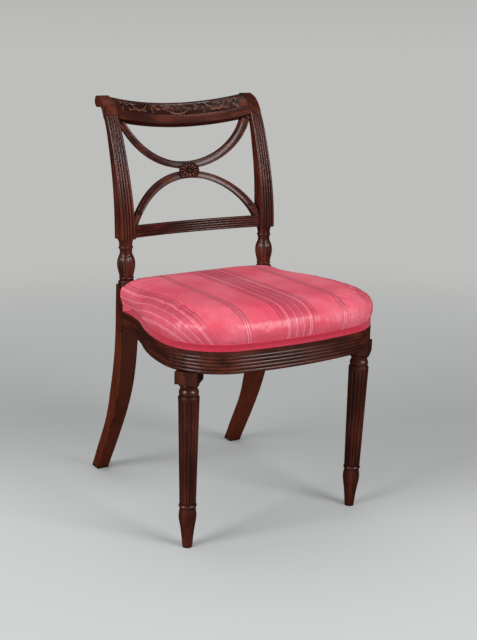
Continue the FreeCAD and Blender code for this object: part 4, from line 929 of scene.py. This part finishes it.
def sweep_round_seat(shape, section, rear_y, closed=True):
    """Carries a section from the rear round to the other side, and returns its first corners. The
    section's points are an inset from the seat's outer line and a height."""
    waist_start, runs = seat_runs()
    points = [Vector((SEAT_HALF_SPAN - inset, rear_y, height)) for inset, height in section]
    corners = [shape.verts.new(point) for point in points]
    pairs = list(zip(corners, corners[1:] + corners[:1]))
    last = corners + [shape.edges.new(pair) for pair in (pairs if closed else pairs[:-1])]
    straight = max(int((rear_y - waist_start.y) / 0.004), 1)
    for _ in range(straight):
        grown = bmesh.ops.extrude_edge_only(
            shape, edges=[e for e in last if isinstance(e, bmesh.types.BMEdge)])["geom"]
        moved = corners_of(grown)
        bmesh.ops.translate(shape, vec=Vector((0, (waist_start.y - rear_y) / straight, 0)), verts=moved)
        last = [g for g in grown if not isinstance(g, bmesh.types.BMFace)
                and (isinstance(g, bmesh.types.BMVert) or all(v in moved for v in g.verts))]
    for centre, turn, steps in runs:
        last = bmesh.ops.spin(shape, geom=last, cent=centre, axis=UP, angle=math.radians(turn),
                              steps=steps)["geom_last"]
    bmesh.ops.mirror(shape, geom=all_lines(shape) + shape.faces[:],
                     axis="X", merge_dist=0.00005)
    bmesh.ops.remove_doubles(shape, verts=shape.verts, dist=0.00002)
    return corners


def outline_samples():
    """Points of the outer line with the outward direction at each, both sides."""
    waist_start, runs = seat_runs()
    samples = [(Vector((SEAT_HALF_SPAN, waist_start.y + step * 0.002, 0)), ACROSS.copy())
               for step in range(35, 0, -1)]
    place, outward = waist_start, ACROSS.copy()
    for centre, turn, _ in runs:
        steps = max(int(abs(math.radians(turn)) * (place - centre).length / 0.002), 1)
        for step in range(steps):
            swing = Matrix.Rotation(math.radians(turn) * step / steps, 3, "Z")
            samples.append((centre + swing @ (place - centre), swing @ outward))
        swing = Matrix.Rotation(math.radians(turn), 3, "Z")
        place, outward = centre + swing @ (place - centre), swing @ outward
    mirrored = [(Vector((-p.x, p.y, 0)), Vector((-n.x, n.y, 0))) for p, n in samples]
    return samples + mirrored


# The silk seat: hair stuffing under a tight rose satin with darker stripes that run front to
# back. It rolls over at its edge and is drawn in above the tape.
CROWN_BASE = 0.408
CROWN_HEIGHT = 0.055
CROWN_INSET = 0.100
RIM_BOTTOM = 0.4063
RIM_INSET = 0.0085
CUSHION_BOTTOM = 0.4106
SILK_VOXEL = 0.0050
SWELL_CAP = 0.0035
SWELL_FRAMES = 14
SILK_CLOTH = {
    "quality": 4, "mass": 0.3, "tension_stiffness": 25, "compression_stiffness": 25,
    "bending_stiffness": 6, "use_pressure": True, "uniform_pressure_force": 4,
}
HELD_RISE = 0.007
HELD_REACH = 0.012
PUCKER_REACH = 0.036
PUCKER_DEPTH = 0.0032
PUCKER_COUNT = 100
UNEVEN_DEPTH = 0.0008
NEAR_SAMPLES = 24
BAND_HALF = 0.0225
PIN_PLACES = (0.0075, 0.0225, 0.0264)
THIN_PLACES = (0.0285, 0.0325, 0.0380)
THIN_GAP = 0.0048
STRIPE_PERIOD = 0.213
STRIPE_MIDDLE = -0.002
STRIPE_SKEW = 0.02
ROSE = (0.72, 0.066, 0.116)
ROSE_PALE = (0.92, 0.30, 0.36)
ROSE_DARK = (0.34, 0.024, 0.060)
ROSE_LINE = (0.14, 0.008, 0.028)
BEND_LOW = 0.438
BEND_HIGH = 0.457
# Each row is a share of the crown's height and of its inset.
CROWN_ROWS = (
    (0, 0), (0.13, -0.03), (0.3, -0.055), (0.5, -0.06), (0.67, -0.03), (0.8, 0.045), (0.895, 0.18),
    (0.952, 0.37), (0.985, 0.65), (1.0, 1.0),
)


def crown_points():
    rows = [Vector((0, SKIRT_INSET + CROWN_INSET * draw, CROWN_BASE + CROWN_HEIGHT * rise))
            for rise, draw in CROWN_ROWS]
    return smooth_line(rows, 40)


def box_piece(name, low, high):
    shape = bmesh.new()
    bmesh.ops.create_cube(shape, size=1.0)
    size = Vector(high) - Vector(low)
    bmesh.ops.scale(shape, vec=size, verts=shape.verts)
    bmesh.ops.translate(shape, vec=(Vector(low) + Vector(high)) / 2, verts=shape.verts)
    return plain_object(name, shape)


def plain_object(name, shape):
    bmesh.ops.recalc_face_normals(shape, faces=shape.faces)
    return as_object(name, shape)


def settle(item):
    """Puts the result of an object's modifiers in its mesh."""
    bpy.context.view_layer.update()
    graph = bpy.context.evaluated_depsgraph_get()
    mesh = bpy.data.meshes.new_from_object(item.evaluated_get(graph))
    item.modifiers.clear()
    item.data = mesh
    return item


def boolean(item, other, operation):
    change = item.modifiers.new("cut", "BOOLEAN")
    change.operation = operation
    change.object = other
    change.solver = "EXACT"
    settle(item)
    bpy.data.objects.remove(other)


def face_across(shape, corners):
    """Closes a star-shaped opening with one level face."""
    turns = {c: math.atan2(c.co.y + 0.06, c.co.x) for c in corners}
    shape.faces.new(sorted(corners, key=turns.get))


def crowned_body():
    """The crowned form, swept round the seat, with its rear slope and the posts' room cut."""
    crown = [(p.y, p.z) for p in crown_points()]
    section = [(RIM_INSET, CUSHION_BOTTOM), (RIM_INSET, RIM_BOTTOM), (SKIRT_INSET, RIM_BOTTOM)] + crown
    rear_y = 0.150
    top = crown[-1][1]
    shape = bmesh.new()
    right = sweep_round_seat(shape, section, rear_y, closed=False)
    corners = shape.verts[:]
    places = {tuple(round(v, 6) for v in c.co): c for c in corners}
    left = [places[tuple(round(v, 6) for v in (-c.co.x, c.co.y, c.co.z))] for c in right]
    shape.faces.new(right + left[::-1])
    face_across(shape, [c for c in corners if abs(c.co.z - top) < 0.000001])
    face_across(shape, [c for c in corners if abs(c.co.z - CUSHION_BOTTOM) < 0.000001])
    body = plain_object("silk_seat", shape)
    rear = bmesh.new()
    points = [Vector((-0.3, SEAT_BACK_Y - inset, height)) for inset, height in crown]
    points += [Vector((-0.3, -0.4, top + 0.001)), Vector((-0.3, -0.4, 0.4)),
               Vector((-0.3, SEAT_BACK_Y - SKIRT_INSET, 0.4))]
    block = rear.faces.new(ring_of(rear, points))
    thicken(rear, [block], Vector((0.6, 0, 0)))
    boolean(body, plain_object("rear_slope", rear), "INTERSECT")
    for side in (1, -1):
        inner, outer = side * (POST_INNER_X - POST_GAP), side * 0.3
        front = STILE_FRONT_Y - POST_GAP
        rooms = (("post_room", front, 0.38), ("turning_room", front - 0.0012, 0.4446))
        for name, low_y, low_z in rooms:
            low = Vector((min(inner, outer), low_y, low_z))
            high = Vector((max(inner, outer), 0.3, 0.5))
            boolean(body, box_piece(name, low, high), "DIFFERENCE")
    return body


def swell(item):
    """Lets the stuffing press the silk out a little. The tacked edge and the posts hold it."""
    held = item.vertex_groups.new(name="held")
    fixed = [v.index for v in item.data.vertices
             if v.co.z < CUSHION_BOTTOM + HELD_RISE
             or (abs(v.co.x) > POST_INNER_X - HELD_REACH and v.co.y > STILE_FRONT_Y - HELD_REACH)]
    held.add(fixed, 1.0, "REPLACE")
    start = [v.co.copy() for v in item.data.vertices]
    cloth = item.modifiers.new("swell", "CLOTH")
    for name, value in SILK_CLOTH.items():
        setattr(cloth.settings, name, value)
    cloth.settings.vertex_group_mass = "held"
    cloth.settings.effector_weights.gravity = 0
    cloth.collision_settings.use_collision = False
    for frame_number in range(1, SWELL_FRAMES + 1):
        scene.frame_set(frame_number)
    settle(item)
    scene.frame_set(1)
    for vertex, place in zip(item.data.vertices, start):
        moved = vertex.co - place
        if moved.length > SWELL_CAP:
            vertex.co = place + moved.normalized() * SWELL_CAP


def cloth_coordinates(item):
    """Writes where each point lies on the flat silk, so that the stripes follow the cloth."""
    tree_points = outline_samples()
    tree = kdtree.KDTree(len(tree_points))
    for index, (point, _) in enumerate(tree_points):
        tree.insert(point, index)
    tree.balance()
    crown = crown_points()
    heights, slack = [], []
    travelled = 0.0
    for above, below in zip(crown[::-1], crown[-2::-1]):
        travelled += (above - below).length - (above.y - below.y)
        heights.append(below.z)
        slack.append(travelled)
    heights, slack = heights[::-1], slack[::-1]
    layer = item.data.uv_layers.new(name="cloth")
    flat = []
    for vertex in item.data.vertices:
        point = Vector((vertex.co.x, vertex.co.y, 0))
        near = tree.find_n(point, NEAR_SAMPLES)
        outward = sum((tree_points[index][1] for _, index, _ in near), Vector()) / len(near)
        if SEAT_BACK_Y - point.y < near[0][2]:
            outward = BACKWARDS
        extra = float(np.interp(vertex.co.z, heights, slack))
        flat.append((point.x + outward.x * extra, point.y + outward.y * extra))
    for loop in item.data.loops:
        layer.data[loop.index].uv = flat[loop.vertex_index]


def satin():
    """Warp-striped satin: wide groups of dark bands with pale pins, and a fine group between."""
    silk = Finish("rose_satin")
    across = silk.axis("X", silk.cloth_place)
    down = silk.axis("Y", silk.cloth_place)
    waver = silk.cloud((30.0, 6.0, 1.0), start=silk.cloth_place)
    across = across + (waver - 0.5) * 0.0016
    across = across - down * STRIPE_SKEW - STRIPE_MIDDLE
    place = abs((across / STRIPE_PERIOD + 0.5).fraction() - 0.5) * STRIPE_PERIOD

    def lines(centres, half, soft=0.0004):
        marks = [abs(place - centre).ramp(half + soft, half - soft) for centre in centres]
        return sum(marks[1:], marks[0])

    half_period = STRIPE_PERIOD / 2
    bands = lines((0.0,), BAND_HALF, 0.0008)
    thin = lines(THIN_PLACES, 0.0008) + lines((half_period, half_period - THIN_GAP), 0.0009)
    pins = lines((*PIN_PLACES, half_period - THIN_GAP / 2), 0.0007)
    threads = silk.cloud((2600.0, 14.0, 1.0), 1.0, start=silk.cloth_place)
    slubs = silk.cloud((90.0, 900.0, 1.0), start=silk.cloth_place)
    bloom = silk.cloud((9.0, 9.0, 1.0), 4.0, start=silk.cloth_place)
    ground = silk.blend(bloom.ramp(0.3, 0.75, 0.0, 0.35), ROSE, ROSE_PALE)
    # Painted sheen: on the steep front roll the dark bands and lines fade and the pins turn paler,
    # standing in for the satin's sheen there.
    top_clear_of_sheen = silk.axis("Z").ramp(BEND_LOW, BEND_HIGH, 0.25, 1.0)
    colour = silk.blend(bands * (threads * 0.3 + 0.40) * top_clear_of_sheen, ground, ROSE_DARK)
    colour = silk.blend(thin * top_clear_of_sheen * 0.95, colour, ROSE_LINE)
    colour = silk.blend(pins * (1.15 - top_clear_of_sheen * 0.75), colour, ROSE_PALE)
    colour = silk.blend(threads.ramp(0.35, 0.7, 0.0, 0.16), colour, ROSE_LINE)
    colour = silk.blend(slubs.ramp(0.55, 0.75, 0.0, 0.10), colour, ROSE_PALE)
    creases = silk.cloud((150.0, 150.0, 9.0), 1.0)
    folds = silk.emboss(creases * (1 - top_clear_of_sheen), 0.0016)
    weave = silk.emboss(threads * 0.6 + slubs * 0.5, 0.00012, under=folds)
    silk.set(Base_Color=colour, Roughness=bloom.ramp(0.2, 0.8, 0.36, 0.48), Specular_IOR_Level=0.6,
             Sheen_Weight=0.08, Sheen_Roughness=0.35, Normal=weave)
    silk.shader.inputs["Sheen Tint"].default_value = (1.0, 0.72, 0.76, 1.0)
    return silk.material


def pucker(item):
    """Small gathers where the silk is tacked under the tape, dying out up the side."""
    normals = [v.normal.copy() for v in item.data.vertices]
    for vertex, normal in zip(item.data.vertices, normals):
        above = (vertex.co.z - CROWN_BASE) / PUCKER_REACH
        fade = min(max(1 - above, 0.0), 1.0) ** 1.2 * min(max(above * 4 + 0.15, 0.0), 1.0)
        uneven = noise.noise(vertex.co * 14.0) * UNEVEN_DEPTH
        around = Vector((vertex.co.x * PUCKER_COUNT, vertex.co.y * PUCKER_COUNT, vertex.co.z * 12))
        gather = noise.noise(around) * PUCKER_DEPTH * fade
        if vertex.co.z > CUSHION_BOTTOM + 0.001:
            vertex.co += normal * (uneven + gather)


def silk_seat():
    form = crowned_body()
    body = form.copy()
    body.data = form.data.copy()
    scene.collection.objects.link(body)
    remesh = body.modifiers.new("voxels", "REMESH")
    remesh.mode = "VOXEL"
    remesh.voxel_size = SILK_VOXEL
    fit = body.modifiers.new("fit", "SHRINKWRAP")
    fit.target = form
    settle(body)
    swell(body)
    rounder = body.modifiers.new("rounder", "SUBSURF")
    rounder.levels = rounder.render_levels = 1
    settle(body)
    bpy.data.objects.remove(form)
    body.name = "silk_seat"
    pucker(body)
    cloth_coordinates(body)
    body.data.shade_smooth()
    body.data.materials.clear()
    body.data.materials.append(satin())
    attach(body, "root")
    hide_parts("seat_cover", "seat_stuffing")
    return body


cushion = silk_seat()


# Below the roll the silk is drawn down over the rebate and tacked: a thin skirt, which shows as
# a narrow band behind the rear rail.
SILK_THICKNESS = 0.0011
SKIRT_TOP = 0.4150


def silk_skirt():
    shape = bmesh.new()
    low, high = SHELF + 0.0003, CUSHION_BOTTOM + 0.003
    outer, inner = SKIRT_INSET, SKIRT_INSET + SILK_THICKNESS
    roll = [(p.y + 0.0001, p.z) for p in crown_points() if p.z < SKIRT_TOP]
    face = [(outer, low), (outer, (low + CROWN_BASE) / 2)] + roll
    section = face + [(inset + SILK_THICKNESS, height) for inset, height in face[::-1]]
    sweep_round_seat(shape, section, STILE_FRONT_Y - POST_GAP)
    close_ends(shape)
    y_out, y_in = SEAT_BACK_Y - outer, SEAT_BACK_Y - inner
    reach = POST_INNER_X - POST_GAP
    bmesh.ops.create_cube(shape, size=1.0, matrix=Matrix.Translation(
        (0, (y_out + y_in) / 2, (low + high) / 2)) @ Matrix.Diagonal(
        (2 * reach, y_out - y_in, high - low, 1)))
    item = finished("silk_skirt", shape, cushion.data.materials[0])
    cloth_coordinates(item)
    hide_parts("seat_cover")


silk_skirt()


# Beside each post the silk is folded under and drawn down over the start of the tape: a flap with
# a thick edge at the post, which dies out towards the waist.
TUCK_LENGTH = 0.046
TUCK_TOP = 0.4475
TUCK_LOW = 0.3962
TUCK_LIFT = 0.0011
FOLD_WIDTH = 0.007


def silk_tuck(side):
    shape = bmesh.new()
    crown = crown_points()
    heights, insets = [p.z for p in crown], [p.y for p in crown]
    rows = []
    travelled = 0.0
    last = None
    for point, outward in outline_samples():
        if point.x < 0 or point.y > STILE_FRONT_Y - POST_GAP - 0.0004:
            continue
        travelled += (point - last).length if last else 0.0
        last = point
        if travelled > TUCK_LENGTH:
            break
        share = travelled / TUCK_LENGTH
        fold = 0.0016 * max(1 - ((travelled - FOLD_WIDTH / 2) / (FOLD_WIDTH / 2)) ** 2, 0) ** 0.5
        low = TUCK_LOW + (CROWN_BASE + 0.001 - TUCK_LOW) * share ** 1.5
        outer, inner = [], []
        for height in np.linspace(low, TUCK_TOP, 22):
            inset = float(np.interp(height, heights, insets)) if height > CROWN_BASE else SKIRT_INSET
            if height < CROWN_BASE + 0.004:
                inset = min(inset, 0.0004)
            proud = TUCK_LIFT * (1 - share ** 3) + fold
            outer.append(point - outward * (inset - proud) + UP * height)
            inner.append(point - outward * (inset + 0.0006) + UP * height)
        loop = [Vector((side * p.x, p.y, p.z)) for p in outer + inner[::-1]]
        rows.append([shape.verts.new(p) for p in loop])
    for before, after in zip(rows, rows[1:]):
        for index in range(len(before)):
            following = (index + 1) % len(before)
            shape.faces.new((before[index], before[following], after[following], after[index]))
    close_ends(shape)
    name = "silk_tuck_right" if side > 0 else "silk_tuck_left"
    item = finished(name, shape, cushion.data.materials[0], sharp=60)
    cloth_coordinates(item)
    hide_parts("seat_cover")


silk_tuck(1)
silk_tuck(-1)


# A flat woven tape of crimson silk hides the tacks. It is glued over the skirt from post to post,
# with a thicker cord woven into each edge.
TAPE_HEIGHT = 0.0126
TAPE_LOW = SHELF + 0.0002
TAPE_BACK = 0.0019
TAPE_THICKNESS = 0.0013
CORD_RISE = 0.00035
CRIMSON = (0.58, 0.008, 0.045)
CRIMSON_DEEP = (0.33, 0.004, 0.024)


def tape_finish():
    tape = Finish("crimson_tape")
    ribs = (tape.axis("Z") * 5200.0).sine()
    threads = tape.cloud((1500.0, 1500.0, 260.0), 1.0)
    wear = tape.cloud(60.0, 3.0)
    colour = tape.blend(threads.ramp(0.35, 0.65, 0.0, 0.7), CRIMSON, CRIMSON_DEEP)
    colour = tape.blend(wear.ramp(0.5, 0.8, 0.0, 0.25), colour, (0.60, 0.03, 0.08))
    tape.set(Base_Color=colour, Roughness=0.62, Sheen_Weight=0.25, Sheen_Roughness=0.4,
             Normal=tape.emboss(threads + ribs * 0.2, 0.0002))
    return tape.material


def trim_tape():
    shape = bmesh.new()
    face = TAPE_BACK - TAPE_THICKNESS
    cord = face - CORD_RISE
    half = ((TAPE_BACK, 0), (face, 0), (cord, 0.0006), (cord, 0.0013), (face, 0.0019))
    low, high = TAPE_LOW, TAPE_LOW + TAPE_HEIGHT
    section = [(inset, low + up) for inset, up in half]
    section += [(face - 0.0001, (low + high) / 2)]
    section += [(inset, high - up) for inset, up in reversed(half)]
    sweep_round_seat(shape, section, STILE_FRONT_Y - POST_GAP)
    close_ends(shape)
    item = finished("crimson_tape", shape, tape_finish(), sharp=60)
    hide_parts("seat_trim_tape")


trim_tape()


# Under the seat, four strips of jute webbing each way are woven through each other, and a piece
# of canvas is stretched over them. Both are tacked to the tops of the rails.
WEB_WIDTH = 0.050
WEB_THICKNESS = 0.0015
WEB_PITCH_ACROSS = 0.074
WEB_PITCH_ALONG = 0.080
WEB_FIRST = 0.093
WEB_MARGIN = 0.009
WEB_STEP = 0.009
STRIPE_ASIDE = 0.019
REAR_RAIL_BACK_Y = 0.1325
CANVAS_THICKNESS = 0.0012
JUTE = (0.36, 0.25, 0.13)
JUTE_DARK = (0.17, 0.11, 0.055)
JUTE_STRIPE = (0.055, 0.030, 0.020)
LINEN = (0.52, 0.44, 0.32)
LINEN_DARK = (0.30, 0.23, 0.15)


def woven_cloth(name, pale, dark, threads_per_metre, stripe=None):
    cloth = Finish(name)
    x, y = cloth.axis("X"), cloth.axis("Y")
    pitch = threads_per_metre * math.pi
    over = (x * pitch).sine() * (y * pitch).sine()
    fuzz = cloth.cloud(700.0, 3.0)
    colour = cloth.blend((over * 0.5 + fuzz).ramp(0.1, 1.0), dark, pale)
    if stripe:
        axis, centre = stripe
        first, second = (abs((x, y)[axis] - (centre + aside)).ramp(0.0022, 0.0018)
                         for aside in (-STRIPE_ASIDE, STRIPE_ASIDE))
        colour = cloth.blend((first + second) * 0.8, colour, JUTE_STRIPE)
    cloth.set(Base_Color=colour, Roughness=0.88, Normal=cloth.emboss(over + fuzz, 0.0006))
    return cloth.material


def strip_levels(number, offset, count):
    return [WEB_THICKNESS * ((number + crossing + offset) % 2) for crossing in range(count)]


def lift_along(place, levels, first, pitch):
    """Height of a strip above the rails at a place along it, as it climbs over the others."""
    lift = 0.0
    for index, level in enumerate(levels):
        away = abs(place - (first + pitch * index)) - WEB_WIDTH / 2
        share = min(max(1 - away / WEB_STEP, 0.0), 1.0)
        lift = max(lift, level * share * share * (3 - 2 * share))
    return lift


def seat_reach(x=None, y=None):
    """How far a strip reaches: the outer line at its place, drawn in by the margin."""
    best = None
    for point, outward in outline_samples():
        spot = point - outward * WEB_MARGIN
        if x is not None and abs(spot.x - x) < 0.004 and spot.y < -0.1:
            best = spot.y if best is None else max(best, spot.y)
        if y is not None and abs(spot.y - y) < 0.004 and spot.x > 0:
            best = spot.x if best is None else min(best, spot.x)
    return best


def webbing_strip(start, end, centre, lengthways, levels, first, pitch):
    """A strip with a raised selvedge, laid through the weave."""
    shape = bmesh.new()
    count = max(int((end - start) / 0.003), 8)
    bmesh.ops.create_grid(shape, x_segments=count, y_segments=16, size=0.5)
    for corner in shape.verts:
        along = start + (end - start) * (corner.co.x + 0.5)
        aside = corner.co.y * WEB_WIDTH
        selvedge = 0.00025 * max(0.0, 1 - abs(abs(aside) - WEB_WIDTH / 2 + 0.002) / 0.002)
        height = RAIL_TOP + 0.0001 + lift_along(along, levels, first, pitch) + selvedge
        corner.co = Vector((centre + aside, along, height) if lengthways
                           else (along, centre + aside, height))
    thicken(shape, shape.faces[:], UP * (WEB_THICKNESS - 0.0002))
    return shape


def webbing():
    first_y, first_x = SEAT_FRONT_Y + WEB_FIRST, -1.5 * WEB_PITCH_ACROSS
    for number in range(4):
        x = first_x + number * WEB_PITCH_ACROSS
        start = seat_reach(x=max(abs(x - WEB_WIDTH / 2), abs(x + WEB_WIDTH / 2)))
        shape = webbing_strip(start, REAR_RAIL_BACK_Y - WEB_MARGIN, x, True,
                              strip_levels(number, 0, 4), first_y, WEB_PITCH_ALONG)
        finish = woven_cloth(f"jute_along_{number + 1}", JUTE, JUTE_DARK, 520, (0, x))
        item = finished(f"webbing_along_{number + 1}", shape, finish)
        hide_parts("seat_webbing_along")
    for number in range(4):
        y = first_y + number * WEB_PITCH_ALONG
        reach = min(seat_reach(y=y - WEB_WIDTH / 2 + 0.002), seat_reach(y=y + WEB_WIDTH / 2 - 0.002))
        shape = webbing_strip(-reach, reach, y, False, strip_levels(number, 1, 4),
                              first_x, WEB_PITCH_ACROSS)
        finish = woven_cloth(f"jute_across_{number + 1}", JUTE, JUTE_DARK, 520, (1, y))
        item = finished(f"webbing_across_{number + 1}", shape, finish)
        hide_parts("seat_webbing_across")


webbing()


def stretched_canvas():
    """The canvas: a closed sheet cut to the seat's line, with its weave in the finish."""
    shape = bmesh.new()
    level = RAIL_TOP + 2 * WEB_THICKNESS + 0.0001
    points = []
    for point, outward in outline_samples():
        if point.y < STILE_FRONT_Y - 0.004:
            points.append(point - outward * WEB_MARGIN)
    right = [p for p in points if p.x > 0.001]
    corner_x, corner_y = POST_INNER_X - 0.003, STILE_FRONT_Y - 0.004
    back = [Vector((corner_x, corner_y, 0)), Vector((corner_x, REAR_RAIL_BACK_Y - WEB_MARGIN, 0))]
    half = back[::-1] + [p for p in right if p.y < corner_y]
    outline = half + [Vector((-p.x, p.y, 0)) for p in reversed(half)]
    ring = ring_of(shape, [Vector((p.x, p.y, level)) for p in outline])
    face = shape.faces.new(ring)
    thicken(shape, [face], UP * (CANVAS_THICKNESS - 0.0002))
    item = finished("canvas", shape, woven_cloth("linen_canvas", LINEN, LINEN_DARK, 1100))
    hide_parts("seat_canvas")


stretched_canvas()
